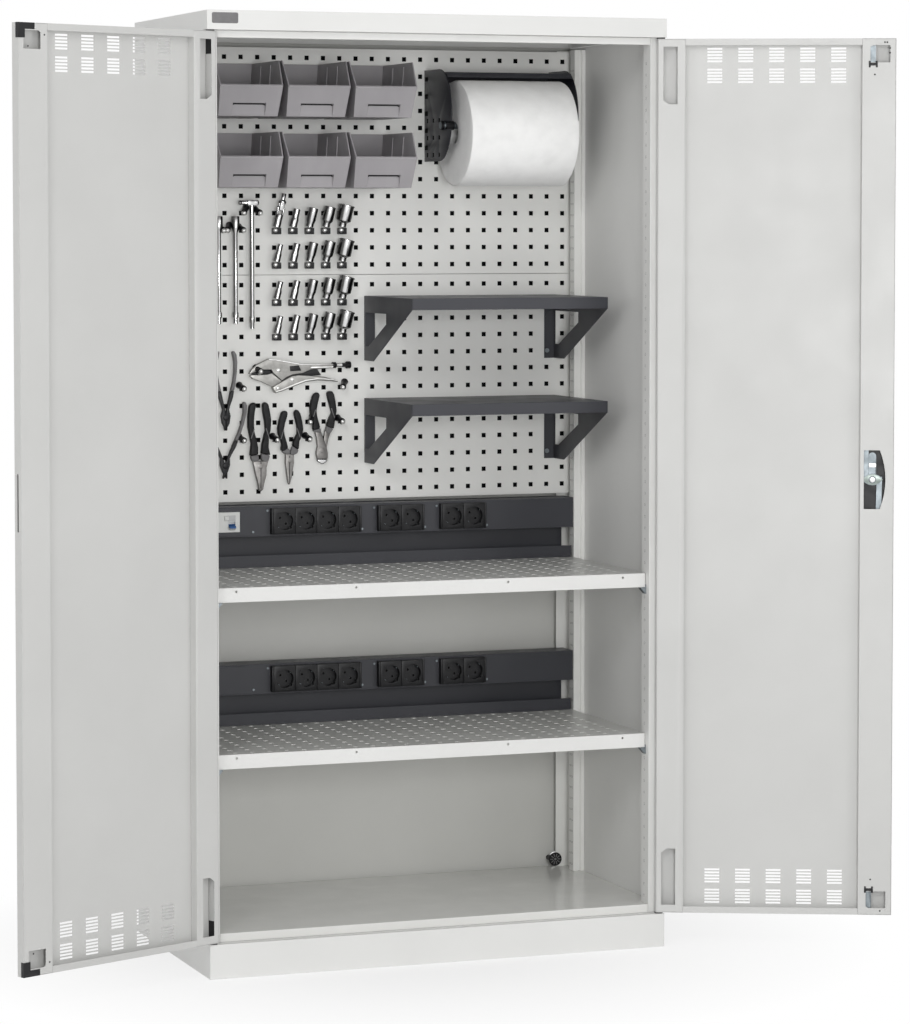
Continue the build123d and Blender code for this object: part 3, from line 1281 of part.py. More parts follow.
def make_latch_hub():
    """Lens-shaped cam plate with its nut and the tongue that swings into the other door."""
    plane = face_plane(RIGHT, TONGUE_B)
    flip = 1 if plane.y_dir.Z > 0 else -1
    z = flip * HUB_HEIGHT
    with BuildPart() as hub:
        with BuildSketch(plane):
            with BuildLine():
                half = TONGUE_WIDTH / 2
                tip = flip * (TONGUE_REACH - half)
                foot = flip * -10
                left_tip, right_tip = (HUB_A - half, z + tip), (HUB_A + half, z + tip)
                Polyline(left_tip, (HUB_A - half, z + foot), (HUB_A + half, z + foot), right_tip)
                ThreePointArc(left_tip, (HUB_A, z + flip * TONGUE_REACH), right_tip)
            make_face()
        extrude(amount=TONGUE_THICKNESS)
        with BuildSketch(plane.offset(TONGUE_THICKNESS)):
            with Locations((HUB_A, z)):
                Circle(SHAFT_RADIUS)
        extrude(amount=HUB_B - TONGUE_B - TONGUE_THICKNESS)
        with BuildSketch(plane.offset(HUB_B - TONGUE_B)):
            with BuildLine():
                for direction in (-1, 1):
                    ThreePointArc(
                        (HUB_A - HUB_LENGTH / 2, z), (HUB_A, z + direction * HUB_BREADTH / 2),
                        (HUB_A + HUB_LENGTH / 2, z),
                    )
            make_face()
        extrude(amount=HUB_THICKNESS)
        with BuildSketch(plane.offset(HUB_B - TONGUE_B + HUB_THICKNESS)):
            with Locations((HUB_A, z)):
                RegularPolygon(7, 6)
        extrude(amount=2.5)
    save(hub, "latch_hub")


def make_rod(name: str, direction: int):
    """Flat locking rod from the hub's tip to the window near the door's end."""
    end_z = DOOR_TOP - ROD_END_GAP if direction > 0 else DOOR_BOTTOM + ROD_END_GAP
    foot_a = HUB_A - direction * ROD_OFFSET
    half = ROD_WIDTH / 2
    foot_z = HUB_HEIGHT - direction * half
    knee_z = end_z - direction * ROD_STRAIGHT
    points = (
        (foot_a - half, foot_z), (foot_a + half, foot_z), (ROD_END_A + half, knee_z),
        (ROD_END_A + half, end_z), (ROD_END_A - half, end_z), (ROD_END_A - half, knee_z),
    )
    with BuildPart() as rod:
        extrude(face_outline(RIGHT, ROD_B, points), amount=ROD_THICKNESS)
    save(rod, name)


HOLES_IN_USE = (
    [(panel, column, row) for panel, row in SOCKET_ROWS for column in SOCKET_COLUMNS]
    + list(TOOL_PEGS)
    + [("lower", column, row) for column in BRACKET_COLUMNS for row in BRACKET_ROWS]
    + [("upper", column, row) for row in BIN_PEG_ROWS.values() for column in BIN_PEG_COLUMNS]
)

make_top_cap()
make_plinth()
make_side_panel(LEFT, "left_side_panel")
make_side_panel(RIGHT, "right_side_panel")
make_back_panel()
make_floor_panel()
make_header_rail()
make_rear_uprights()
for panel_name in PANEL_TOPS:
    make_perforated_panel(panel_name)
for shelf_level in SHELF_TOPS:
    make_shelf(shelf_level)
    make_socket_channel(shelf_level)
make_shelf_clips()
make_cable_troughs()
make_outlet_blocks()
make_cover_plates()
make_breaker()
make_pan_screws()
make_roll_holder()
for shelf_level in TOOL_SHELF_TOPS:
    make_tool_shelf(shelf_level)
make_tool_shelf_brackets()
make_bin_rails()
for bin_row in BIN_ROW_TOP:
    for bin_column in BIN_COLUMN_X:
        make_bin(bin_row, bin_column)
make_socket_clips()
make_drive_sockets()
make_tool_pegs()
make_drive_bars()
make_pliers()
make_locking_pliers()
make_circlip_pliers()
make_cable_gland()
make_hinge_pins()
make_pivot_washers()
for door_side, door_name in ((LEFT, "left"), (RIGHT, "right")):
    make_door_skin(door_side, f"{door_name}_door_skin")
    make_door_stiles(door_side, f"{door_name}_door_stiles")
    make_hinge_blocks(door_side, f"{door_name}_hinge_blocks")
make_corner_guards()
make_handle_housing()
make_swing_handle()
make_latch_hub()
make_rod("upper_lock_rod", 1)
make_rod("lower_lock_rod", -1)
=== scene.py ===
"""Looks of the battery charging cabinet: finishes, perforated sheets, outlets, tools, camera and studio."""

import logging
import math
from collections.abc import Callable, Iterable, Sequence
from dataclasses import dataclass, field
from enum import Enum

import bpy
from mathutils import Matrix, Vector, noise

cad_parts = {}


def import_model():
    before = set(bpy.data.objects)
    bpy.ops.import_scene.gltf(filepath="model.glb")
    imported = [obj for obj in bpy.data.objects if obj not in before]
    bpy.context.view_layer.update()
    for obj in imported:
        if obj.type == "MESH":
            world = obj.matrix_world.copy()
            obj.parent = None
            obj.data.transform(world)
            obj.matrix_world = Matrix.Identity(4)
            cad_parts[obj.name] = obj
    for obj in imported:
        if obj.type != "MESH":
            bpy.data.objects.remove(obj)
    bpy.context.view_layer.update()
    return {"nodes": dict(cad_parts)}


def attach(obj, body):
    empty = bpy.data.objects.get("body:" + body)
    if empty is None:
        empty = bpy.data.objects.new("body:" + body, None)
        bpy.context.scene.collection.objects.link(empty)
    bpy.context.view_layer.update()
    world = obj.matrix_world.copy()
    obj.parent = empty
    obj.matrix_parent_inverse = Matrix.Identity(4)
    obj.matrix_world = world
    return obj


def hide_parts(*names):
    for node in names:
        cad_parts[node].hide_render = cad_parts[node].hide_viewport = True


LOG = logging.getLogger("cabinet")
MM = 0.001

Point = tuple[float, float, float]
Shade = tuple[int, int, int]
Outline = Sequence[tuple[float, float]]
Piece = bpy.types.Object
Output = bpy.types.NodeSocket

HOLE_PITCH = 38.0
HOLE_COLUMNS = 26
HOLE_ROWS = 13
PANEL_TOPS = {"upper": 1949.0, "lower": 1449.0}
HINGE_X = 502
HINGE_Y = -268
LEAF_TURN = 24
DOOR_TOP = 1957
DOOR_BOTTOM = 75


class Body(str, Enum):
    """Bodies of the frame that pieces ride on."""

    CARCASS = "carcass"
    LEFT_DOOR = "left_door"
    RIGHT_DOOR = "right_door"
    HANDLE = "handle"
    ROLL = "roll"
    UPPER_STORAGE_LEFT = "upper_storage_left"
    UPPER_STORAGE_MIDDLE = "upper_storage_middle"
    UPPER_STORAGE_RIGHT = "upper_storage_right"
    LOWER_STORAGE_LEFT = "lower_storage_left"
    LOWER_STORAGE_MIDDLE = "lower_storage_middle"
    LOWER_STORAGE_RIGHT = "lower_storage_right"


class Slot(str, Enum):
    """Material slots."""

    LIGHT_PAINT = "light_paint"
    DARK_PAINT = "dark_paint"
    BIN_PLASTIC = "bin_plastic"
    BLACK_PLASTIC = "black_plastic"
    TOOL_STEEL = "tool_steel"
    ZINC_STEEL = "zinc_steel"
    GRIP_RUBBER = "grip_rubber"
    PAPER = "paper"
    WHITE_PLASTIC = "white_plastic"
    BLUE_PLASTIC = "blue_plastic"


DOORS = ((-1, "left", Body.LEFT_DOOR), (1, "right", Body.RIGHT_DOOR))


def linear(shade: Shade) -> tuple[float, ...]:
    """Turn an 8-bit display colour into the linear colour that a socket takes.

    Args:
        shade: Red, green and blue from 0 to 255.

    Returns:
        Linear red, green, blue and an alpha of 1.
    """
    parts = []
    for value in shade:
        share = value / 255
        parts.append(share / 12.92 if share <= 0.04045 else ((share + 0.055) / 1.055) ** 2.4)
    return (parts[0], parts[1], parts[2], 1.0)


class Wiring:
    """Lays out one material's nodes round a Principled shader, on Object coordinates."""

    def __init__(self, name: str) -> None:
        """Start an empty node tree.

        Args:
            name: The material's name.
        """
        self.material = bpy.data.materials.new(name)
        self.material.use_nodes = True
        self.tree = self.material.node_tree
        self.tree.nodes.clear()
        output = self.tree.nodes.new("ShaderNodeOutputMaterial")
        self.shader = self.tree.nodes.new("ShaderNodeBsdfPrincipled")
        self.tree.links.new(self.shader.outputs["BSDF"], output.inputs["Surface"])
        self.coords = self.tree.nodes.new("ShaderNodeTexCoord").outputs["Object"]
        self.height: Output | None = None

    def mapped(self, stretch: Point) -> Output:
        """Object coordinates stretched along the axes.

        Args:
            stretch: Scale along X, Y and Z.

        Returns:
            The mapped vector.
        """
        mapping = self.tree.nodes.new("ShaderNodeMapping")
        mapping.inputs["Scale"].default_value = stretch
        self.tree.links.new(self.coords, mapping.inputs["Vector"])
        return mapping.outputs["Vector"]

    def noise(self, scale: float, detail: float = 3.0, stretch: Point = (1, 1, 1)) -> Output:
        """Noise at a scale given per metre.

        Args:
            scale: Noise cells per metre.
            detail: Octaves of the noise.
            stretch: Scale along X, Y and Z.

        Returns:
            The noise's factor.
        """
        texture = self.tree.nodes.new("ShaderNodeTexNoise")
        texture.inputs["Scale"].default_value = scale
        texture.inputs["Detail"].default_value = detail
        self.tree.links.new(self.mapped(stretch), texture.inputs["Vector"])
        return texture.outputs["Fac"]

    def cells(self, scale: float) -> Output:
        """Distance to the nearest of many small cells.

        Args:
            scale: Cells per metre.

        Returns:
            The distance.
        """
        texture = self.tree.nodes.new("ShaderNodeTexVoronoi")
        texture.inputs["Scale"].default_value = scale
        self.tree.links.new(self.coords, texture.inputs["Vector"])
        return texture.outputs["Distance"]

    def reflection_facing(self, axis: int, wobble: float) -> Output:
        """How far the surface turns towards an axis of the object, stirred by a little noise, as the mask of
        a painted reflection.

        Args:
            axis: 0, 1 or 2 for X, Y or Z.
            wobble: Amount of noise that is added.

        Returns:
            A value from about -1 to 1.
        """
        split = self.tree.nodes.new("ShaderNodeSeparateXYZ")
        self.tree.links.new(self.coords.node.outputs["Normal"], split.inputs[0])
        stir = self.tree.nodes.new("ShaderNodeMath")
        stir.operation = "MULTIPLY_ADD"
        stir.inputs[1].default_value = wobble
        self.tree.links.new(self.noise(60, 2), stir.inputs[0])
        self.tree.links.new(split.outputs[axis], stir.inputs[2])
        return stir.outputs[0]

    def ramp(self, source: Output, stops: Sequence[tuple[float, int]]) -> None:
        """Turn a value from -1 to 1 into a base colour through a row of greys, the bands of a painted
        reflection.

        Args:
            source: The value.
            stops: Places from 0 to 1 and their greys from 0 to 255.
        """
        node = self.tree.nodes.new("ShaderNodeValToRGB")
        for place, grey in stops[2:]:
            node.color_ramp.elements.new(place).color = linear((grey, grey, grey))
        ends = (node.color_ramp.elements[0], node.color_ramp.elements[-1])
        for element, (place, grey) in zip(ends, stops[:2]):
            element.position = place
            element.color = linear((grey, grey, grey))
        self.tree.links.new(self.ranged(source, 0, 1, -1, 1), node.inputs[0])
        self.tree.links.new(node.outputs[0], self.shader.inputs["Base Color"])

    def ranged(self, source: Output, low: float, high: float, start: float = 0.3, end: float = 0.7) -> Output:
        """Carry a factor into another range.

        Args:
            source: The factor.
            low: Value at the start of the range.
            high: Value at its end.
            start: Factor that gives the low value.
            end: Factor that gives the high value.

        Returns:
            The new value.
        """
        node = self.tree.nodes.new("ShaderNodeMapRange")
        node.inputs["From Min"].default_value = start
        node.inputs["From Max"].default_value = end
        node.inputs["To Min"].default_value = low
        node.inputs["To Max"].default_value = high
        self.tree.links.new(source, node.inputs["Value"])
        return node.outputs["Result"]

    def mottle(self, source: Output, shade: Shade, dark: int, light: int) -> None:
        """Mottle the base colour between a darker and a lighter tone of a shade.

        Args:
            source: Noise that mottles it.
            shade: The shade.
            dark: Steps of 255 down to the dark tone.
            light: Steps of 255 up to the light tone.
        """
        factor = self.ranged(source, 0, 1)
        node = self.tree.nodes.new("ShaderNodeMix")
        node.data_type = "RGBA"
        node.inputs[6].default_value = linear(darker(shade, dark))
        node.inputs[7].default_value = linear(darker(shade, -light))
        self.tree.links.new(factor, node.inputs[0])
        self.tree.links.new(node.outputs[2], self.shader.inputs["Base Color"])

    def roughness(self, source: Output, low: float, high: float) -> None:
        """Let the roughness wander with noise between two values."""
        self.tree.links.new(self.ranged(source, low, high), self.shader.inputs["Roughness"])

    def bump(self, source: Output, distance: float, strength: float = 1.0) -> None:
        """Add relief to the surface.

        Args:
            source: Height factor.
            distance: Height of a factor of 1, in metres.
            strength: Share of the relief that shows.
        """
        node = self.tree.nodes.new("ShaderNodeBump")
        node.inputs["Strength"].default_value = strength
        node.inputs["Distance"].default_value = distance
        self.tree.links.new(source, node.inputs["Height"])
        if self.height is not None:
            self.tree.links.new(self.height, node.inputs["Normal"])
        self.height = node.outputs["Normal"]
        self.tree.links.new(self.height, self.shader.inputs["Normal"])


def darker(shade: Shade, amount: int) -> Shade:
    """Take an amount off each part of a shade.

    Args:
        shade: The shade.
        amount: Steps of 255 to take off; a negative amount lightens.

    Returns:
        The new shade.
    """
    red, green, blue = (max(0, min(255, value - amount)) for value in shade)
    return (red, green, blue)


@dataclass(frozen=True)
class PowderCoat:
    """Baked powder coat with a fine orange peel."""

    name: str
    shade: Shade
    gloss: float = 0.42
    peel: float = 0.00006

    def build(self) -> bpy.types.Material:
        """Make the material with its mottling, peel and worn sheen."""
        wiring = Wiring(self.name)
        wiring.shader.inputs["Specular IOR Level"].default_value = 0.5
        wiring.mottle(wiring.noise(4, 4), self.shade, 3, 2)
        rubbed = wiring.noise(11, 5)
        wiring.roughness(rubbed, self.gloss - 0.05, self.gloss + 0.07)
        wiring.bump(wiring.noise(420, 2), self.peel, 0.5)
        wiring.bump(wiring.noise(3, 2), 0.0004, 0.25)
        return wiring.material


@dataclass(frozen=True)
class MouldedPlastic:
    """Injection-moulded plastic with a fine eroded grain."""

    name: str
    shade: Shade
    gloss: float = 0.45
    grain: float = 0.00005
    shine: float = 0.5

    def build(self) -> bpy.types.Material:
        """Make the material with its grain and faint flow marks."""
        wiring = Wiring(self.name)
        wiring.shader.inputs["Specular IOR Level"].default_value = self.shine
        flow = wiring.noise(14, 4, (1, 1, 0.35))
        wiring.mottle(flow, self.shade, 5, 4)
        wiring.roughness(wiring.noise(60, 3), self.gloss - 0.06, self.gloss + 0.08)
        wiring.bump(wiring.cells(1400), self.grain, 0.6)
        return wiring.material


@dataclass(frozen=True)
class Steel:
    """Bare or plated steel with fine grinding lines along one axis."""

    name: str
    shade: Shade
    gloss: float = 0.18
    stretch: Point = (1, 1, 0.08)
    lines: float = 0.00003

    def build(self) -> bpy.types.Material:
        """Make the material with its grinding lines and handling marks."""
        wiring = Wiring(self.name)
        wiring.shader.inputs["Metallic"].default_value = 1.0
        wiring.mottle(wiring.noise(90, 4), self.shade, 16, 6)
        wiring.roughness(wiring.noise(40, 4), self.gloss - 0.05, self.gloss + 0.12)
        wiring.bump(wiring.noise(900, 3, self.stretch), self.lines, 0.5)
        return wiring.material


@dataclass(frozen=True)
class PaintedReflectionSteel:
    """Polished round steel with the broad light and dark bands of a chromed surface, painted as a reflection
    by how far each face turns towards the object's X axis.
    """

    name: str
    gloss: float = 0.2
    # greys of the painted reflection bands, from dark edge to bright middle
    stops: tuple[tuple[float, int], ...] = (
        (0.0, 96), (1.0, 96), (0.08, 122), (0.17, 146), (0.22, 156), (0.26, 206), (0.42, 224), (0.56, 204),
        (0.66, 74), (0.88, 46),
    )

    def build(self) -> bpy.types.Material:
        """Make the material with its painted reflection bands, fine turning lines and handling marks."""
        wiring = Wiring(self.name)
        wiring.shader.inputs["Metallic"].default_value = 1.0
        # painted reflection: grey bands set by how far each face turns towards the object's X axis
        wiring.ramp(wiring.reflection_facing(0, 0.12), self.stops)
        wiring.roughness(wiring.noise(70, 4), self.gloss - 0.06, self.gloss + 0.08)
        wiring.bump(wiring.noise(1200, 2, (0.2, 0.2, 1)), 0.00002, 0.4)
        return wiring.material


@dataclass(frozen=True)
class DippedGrip:
    """Dipped or moulded grip rubber, dull with a pebbled skin."""

    name: str
    shade: Shade

    def build(self) -> bpy.types.Material:
        """Make the material with its pebbles and dusty patches."""
        wiring = Wiring(self.name)
        wiring.shader.inputs["Specular IOR Level"].default_value = 0.3
        wiring.mottle(wiring.noise(55, 4), self.shade, 5, 8)
        wiring.roughness(wiring.noise(70, 3), 0.42, 0.66)
        wiring.bump(wiring.cells(900), 0.00012, 0.5)
        return wiring.material


@dataclass(frozen=True)
class TissuePaper:
    """Wound cleaning paper with rows of embossed dots."""

    name: str
    shade: Shade
    pitch: float = 0.0046

    def build(self) -> bpy.types.Material:
        """Make the material with its embossing and soft creases."""
        wiring = Wiring(self.name)
        wiring.shader.inputs["Sheen Weight"].default_value = 0.15
        wiring.shader.inputs["Roughness"].default_value = 0.92
        wiring.mottle(wiring.noise(30, 4), self.shade, 5, 3)
        wiring.bump(wiring.cells(1 / self.pitch), 0.0004, 0.45)
        wiring.bump(wiring.noise(22, 4, (0.5, 1, 2)), 0.0011, 0.4)
        return wiring.material


LIGHT_PAINT = PowderCoat("cabinet_light_paint", (226, 226, 224))
# the light paint darkened for the doors: painted shade
SHADED_DOOR_PAINT = PowderCoat("door_paint_painted_shade", (203, 203, 201))
# the light paint lightened for the perforated panels and rear uprights deep inside: painted light
LIT_SHEET_PAINT = PowderCoat("sheet_paint_painted_light", (238, 238, 235), 0.36)
# the cabinet's light paint darkened for the back sheet: painted shade of the bays
SHADED_REAR_PAINT = PowderCoat("rear_sheet_painted_shade", (208, 208, 204), 0.36)
FLOOR_PAINT = PowderCoat("floor_sheet_paint", (224, 224, 221), 0.17, 0.00002)
# the light paint darkened for the shelf decks: painted shade
SHADED_DECK_PAINT = PowderCoat("shelf_deck_painted_shade", (204, 204, 201), 0.34)
# a lighter anthracite: a painted highlight on the strips' returned edges, and the cam washer's tone
ANTHRACITE_AND_EDGE_HIGHLIGHT = PowderCoat("anthracite_paint_and_painted_edge_highlight", (76, 77, 82), 0.36)
DARK_PAINT = PowderCoat("anthracite_paint", (50, 51, 57), 0.42)
CHEEK_PAINT = PowderCoat("anthracite_cheek_paint", (42, 43, 49), 0.4)
BIN_PLASTIC = MouldedPlastic("bin_grey_plastic", (158, 155, 158), 0.4)
BLACK_PLASTIC = MouldedPlastic("black_plastic", (17, 17, 20), 0.4, shine=0.35)
# near-black sheets and marks that stand in for shade: painted shade
PAINTED_SHADE_BLACK = MouldedPlastic("painted_shade_black", (11, 11, 12), 0.8, shine=0.1)
# dark grey for blind holes, slots and the bins' grip recesses: painted shade
PAINTED_HOLE_SHADE = MouldedPlastic("painted_hole_shade", (52, 52, 53), 0.8, shine=0.2)
# painted reflection bands on the sockets, bars, cutter tips and springs
PAINTED_REFLECTION_STEEL = PaintedReflectionSteel("steel_with_painted_reflection")
NICKEL = Steel("nickel_plated_steel", (160, 159, 156), 0.34)
# bright steel for balls and rivets; on the pliers' fold edges and the latch's nut and joggle its near-white
# tone is a painted highlight
BRIGHT_STEEL_AND_HIGHLIGHT = Steel("bright_steel_and_painted_highlight", (238, 238, 236), 0.3)
CAM_STEEL = Steel("green_grey_cam_steel", (146, 155, 151), 0.36)
SATIN = Steel("satin_tool_steel", (134, 132, 130), 0.36)
ZINC = Steel("zinc_plated_steel", (132, 139, 143), 0.42)
SLEEVE_GREY = DippedGrip("grey_grip_inlay", (118, 117, 118))
LABEL_GREY = MouldedPlastic("breaker_field_grey", (196, 197, 198), 0.5)
GRIP = DippedGrip("black_dipped_grip", (17, 17, 19))
PAPER = TissuePaper("wound_tissue_paper", (250, 250, 249))
WHITE_PLASTIC = MouldedPlastic("white_plastic", (225, 226, 224), 0.4)
BLUE_PLASTIC = MouldedPlastic("blue_lever_plastic", (26, 84, 146), 0.35)

Finish = PowderCoat | MouldedPlastic | Steel | PaintedReflectionSteel | DippedGrip | TissuePaper
MADE: dict[str, bpy.types.Material] = {}

NODE_FINISHES: dict[Finish, tuple[str, ...]] = {
    LIGHT_PAINT: (
        "top_cap", "plinth", "left_side_panel", "right_side_panel", "header_rail", "upper_shelf",
        "lower_shelf",
    ),
    SHADED_DOOR_PAINT: ("left_door_skin", "right_door_skin", "left_door_stiles", "right_door_stiles"),
    LIT_SHEET_PAINT: ("upper_perforated_panel", "lower_perforated_panel", "rear_uprights"),
    SHADED_REAR_PAINT: ("back_panel",),
    FLOOR_PAINT: ("floor_panel",),
    DARK_PAINT: (
        "upper_socket_channel", "lower_socket_channel", "cable_troughs", "cover_plates", "bin_rails",
        "roll_holder_cheeks", "roll_holder_top", "upper_tool_shelf", "lower_tool_shelf",
        "tool_shelf_brackets",
    ),
    BIN_PLASTIC: (
        "upper_bin_left", "upper_bin_middle", "upper_bin_right",
        "lower_bin_left", "lower_bin_middle", "lower_bin_right",
    ),
    BLACK_PLASTIC: (
        "outlet_blocks", "cable_gland", "corner_guards", "handle_housing", "left_hinge_blocks",
        "right_hinge_blocks", "pivot_washers", "socket_clips", "tool_pegs", "swing_handle",
    ),
    PAINTED_REFLECTION_STEEL: ("drive_sockets", "drive_bars"),
    NICKEL: ("locking_pliers",),
    SATIN: ("pliers_heads",),
    ZINC: (
        "hinge_pins", "latch_hub", "lock_cylinder", "lower_lock_rod", "upper_lock_rod", "pan_screws",
        "roll_spindle", "shelf_clips",
    ),
    GRIP: ("pliers_grips", "circlip_pliers"),
    PAPER: ("paper_roll",),
    WHITE_PLASTIC: ("breaker_body", "test_button"),
    BLUE_PLASTIC: ("breaker_lever",),
}


def made(finish: Finish) -> bpy.types.Material:
    """Make a finish's material once and hand it out.

    Args:
        finish: The finish.

    Returns:
        Its material.
    """
    if finish.name not in MADE:
        MADE[finish.name] = finish.build()
    return MADE[finish.name]


def deselect() -> None:
    """Leave edit mode and deselect every object."""
    if bpy.context.object is not None and bpy.context.object.mode != "OBJECT":
        bpy.ops.object.mode_set(mode="OBJECT")
    bpy.ops.object.select_all(action="DESELECT")


def activate(piece: Piece) -> None:
    """Select one object alone and make it active."""
    deselect()
    piece.select_set(True)
    bpy.context.view_layer.objects.active = piece


def settle(piece: Piece) -> Piece:
    """Apply an object's place, turn and size to its mesh.

    Args:
        piece: The object.

    Returns:
        The same object, at the origin.
    """
    activate(piece)
    bpy.ops.object.transform_apply(location=True, rotation=True, scale=True)
    return piece


def moved(piece: Piece, matrix: Matrix) -> Piece:
    """Move an object's mesh by a matrix and keep its faces pointing outwards.

    Args:
        piece: The object.
        matrix: The move, which may mirror.

    Returns:
        The same object, at the origin.
    """
    piece.data.transform(matrix)
    if matrix.determinant() < 0:
        piece.data.flip_normals()
    return piece


def box(name: str, low: Point, high: Point) -> Piece:
    """Start a piece from a cube between two corners.

    Args:
        name: The object's name.
        low: Lowest corner in millimetres.
        high: Highest corner in millimetres.

    Returns:
        The object.
    """
    deselect()
    centre = [(a + b) / 2 * MM for a, b in zip(low, high)]
    size = [(b - a) * MM for a, b in zip(low, high)]
    bpy.ops.mesh.primitive_cube_add(size=1, location=centre, scale=size)
    piece = bpy.context.object
    piece.name = name
    return settle(piece)


def rod(name: str, radius: float, start: Point, end: Point,
        sides: int = 32, tip: float | None = None) -> Piece:
    """Start a piece from a cylinder or cone between two points.

    Args:
        name: The object's name.
        radius: Radius at the start, in millimetres.
        start: First end in millimetres.
        end: Second end in millimetres.
        sides: Sides of the section.
        tip: Radius at the end, or None for the same.

    Returns:
        The object.
    """
    deselect()
    first, last = Vector(start) * MM, Vector(end) * MM
    length = (last - first).length
    turn = (last - first).to_track_quat("Z", "Y").to_euler()
    bpy.ops.mesh.primitive_cone_add(
        vertices=sides, radius1=radius * MM, radius2=(radius if tip is None else tip) * MM, depth=length,
        location=(first + last) / 2, rotation=turn,
    )
    piece = bpy.context.object
    piece.name = name
    return settle(piece)


def apply_modifier(piece: Piece, kind: str, **values: object) -> None:
    """Add a modifier, set it and apply it.

    Args:
        piece: The object.
        kind: The modifier's type.
        values: Its settings.
    """
    activate(piece)
    modifier = piece.modifiers.new(kind.lower(), kind)
    for key, value in values.items():
        setattr(modifier, key, value)
    bpy.ops.object.modifier_apply(modifier=modifier.name)


def rounded(piece: Piece, width: float, segments: int = 2, angle: float = 30) -> Piece:
    """Round a piece's sharp edges and smooth its shading.

    Args:
        piece: The object.
        width: Width of the rounding in millimetres.
        segments: Steps of the rounding.
        angle: Smallest angle that counts as an edge, in degrees.

    Returns:
        The same object.
    """
    apply_modifier(
        piece, "BEVEL", width=width * MM, segments=segments, limit_method="ANGLE",
        angle_limit=math.radians(angle),
    )
    return smoothed(piece)


def smoothed(piece: Piece, angle: float = 35) -> Piece:
    """Smooth the shading across edges below an angle."""
    activate(piece)
    bpy.ops.object.shade_smooth_by_angle(angle=math.radians(angle))
    return piece


def cut(piece: Piece, cutter: Piece) -> Piece:
    """Take a cutter's shape out of a piece and delete the cutter.

    Args:
        piece: The object that is cut.
        cutter: The shape that goes.

    Returns:
        The cut object.
    """
    apply_modifier(piece, "BOOLEAN", object=cutter, operation="DIFFERENCE", solver="EXACT", use_self=True)
    bpy.data.objects.remove(cutter, do_unlink=True)
    return piece


def joined(name: str, parts: Iterable[Piece]) -> Piece:
    """Join several meshes in one object.

    Args:
        name: Its name.
        parts: The meshes.

    Returns:
        The joined object.
    """
    parts = list(parts)
    activate(parts[0])
    for part in parts[1:]:
        part.select_set(True)
    if len(parts) > 1:
        bpy.ops.object.join()
    parts[0].name = name
    return parts[0]


def copied(piece: Piece, offset: Point) -> Piece:
    """Copy a piece with its own mesh and shift it.

    Args:
        piece: The object.
        offset: Shift in millimetres.

    Returns:
        The copy.
    """
    twin = piece.copy()
    twin.data = piece.data.copy()
    bpy.context.scene.collection.objects.link(twin)
    return moved(twin, Matrix.Translation(Vector(offset) * MM))


def pick(piece: Piece, rule: Callable[[Vector, Vector], bool]) -> None:
    """Select faces by centre and normal and enter edit mode.

    Args:
        piece: The object.
        rule: Says of a face's centre in millimetres and normal whether it is picked.
    """
    activate(piece)
    bpy.ops.object.mode_set(mode="EDIT")
    bpy.ops.mesh.select_mode(type="FACE")
    bpy.ops.mesh.select_all(action="DESELECT")
    bpy.ops.object.mode_set(mode="OBJECT")
    for face in piece.data.polygons:
        face.select = rule(face.center / MM, face.normal)
    bpy.ops.object.mode_set(mode="EDIT")


def pick_edges(piece: Piece, rule: Callable[[Vector, Vector], bool]) -> None:
    """Select edges by their two ends and enter edit mode.

    Args:
        piece: The object.
        rule: Says of an edge's ends in millimetres whether it is picked.
    """
    activate(piece)
    bpy.ops.object.mode_set(mode="EDIT")
    bpy.ops.mesh.select_mode(type="EDGE")
    bpy.ops.mesh.select_all(action="DESELECT")
    bpy.ops.object.mode_set(mode="OBJECT")
    places = [vertex.co / MM for vertex in piece.data.vertices]
    for edge in piece.data.edges:
        first, last = edge.vertices
        edge.select = rule(places[first], places[last])
    bpy.ops.object.mode_set(mode="EDIT")


def drawn_out(offset: Point) -> None:
    """Extrude what is picked by an offset in millimetres."""
    bpy.ops.mesh.extrude_region_move(TRANSFORM_OT_translate={"value": Vector(offset) * MM})


def finished(piece: Piece, finish: Finish, slot: Slot, body: Body, *nodes: str) -> Piece:
    """Give a piece its finish and its body, and hide the CAD nodes that it stands for.

    Args:
        piece: The object.
        finish: Its finish.
        slot: The slot of that finish; not used.
        body: The body it rides on.
        nodes: CAD nodes that it replaces.

    Returns:
        The same object.
    """
    piece.data.materials.clear()
    piece.data.materials.append(made(finish))
    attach(piece, body.value)
    if nodes:
        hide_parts(*nodes)
    LOG.info("piece %s: %d faces", piece.name, len(piece.data.polygons))
    return piece


def gathered(name: str, parts: Iterable[Piece], finish: Finish, slot: Slot, *nodes: str) -> Piece:
    """Join meshes in one piece of the fixed cabinet and dress it.

    Args:
        name: The piece's name.
        parts: The meshes.
        finish: Its finish.
        slot: The slot of that finish.
        nodes: CAD nodes that it replaces.

    Returns:
        The piece.
    """
    return finished(joined(name, parts), finish, slot, Body.CARCASS, *nodes)


def chained(name: str, points: Sequence[Point]) -> Piece:
    """Draw a chain of edges through points and stay in edit mode.

    Args:
        name: The object's name.
        points: The chain's points in millimetres.

    Returns:
        The object.
    """
    deselect()
    bpy.ops.mesh.primitive_plane_add(size=MM)
    piece = bpy.context.object
    piece.name = name
    bpy.ops.object.mode_set(mode="EDIT")
    bpy.ops.mesh.select_mode(type="VERT")
    bpy.ops.mesh.select_all(action="SELECT")
    bpy.ops.mesh.merge(type="CENTER")
    bpy.ops.transform.translate(value=Vector(points[0]) * MM)
    for first, last in zip(points, points[1:]):
        step = (Vector(last) - Vector(first)) * MM
        bpy.ops.mesh.extrude_vertices_move(TRANSFORM_OT_translate={"value": step})
    bpy.ops.mesh.select_all(action="SELECT")
    return piece


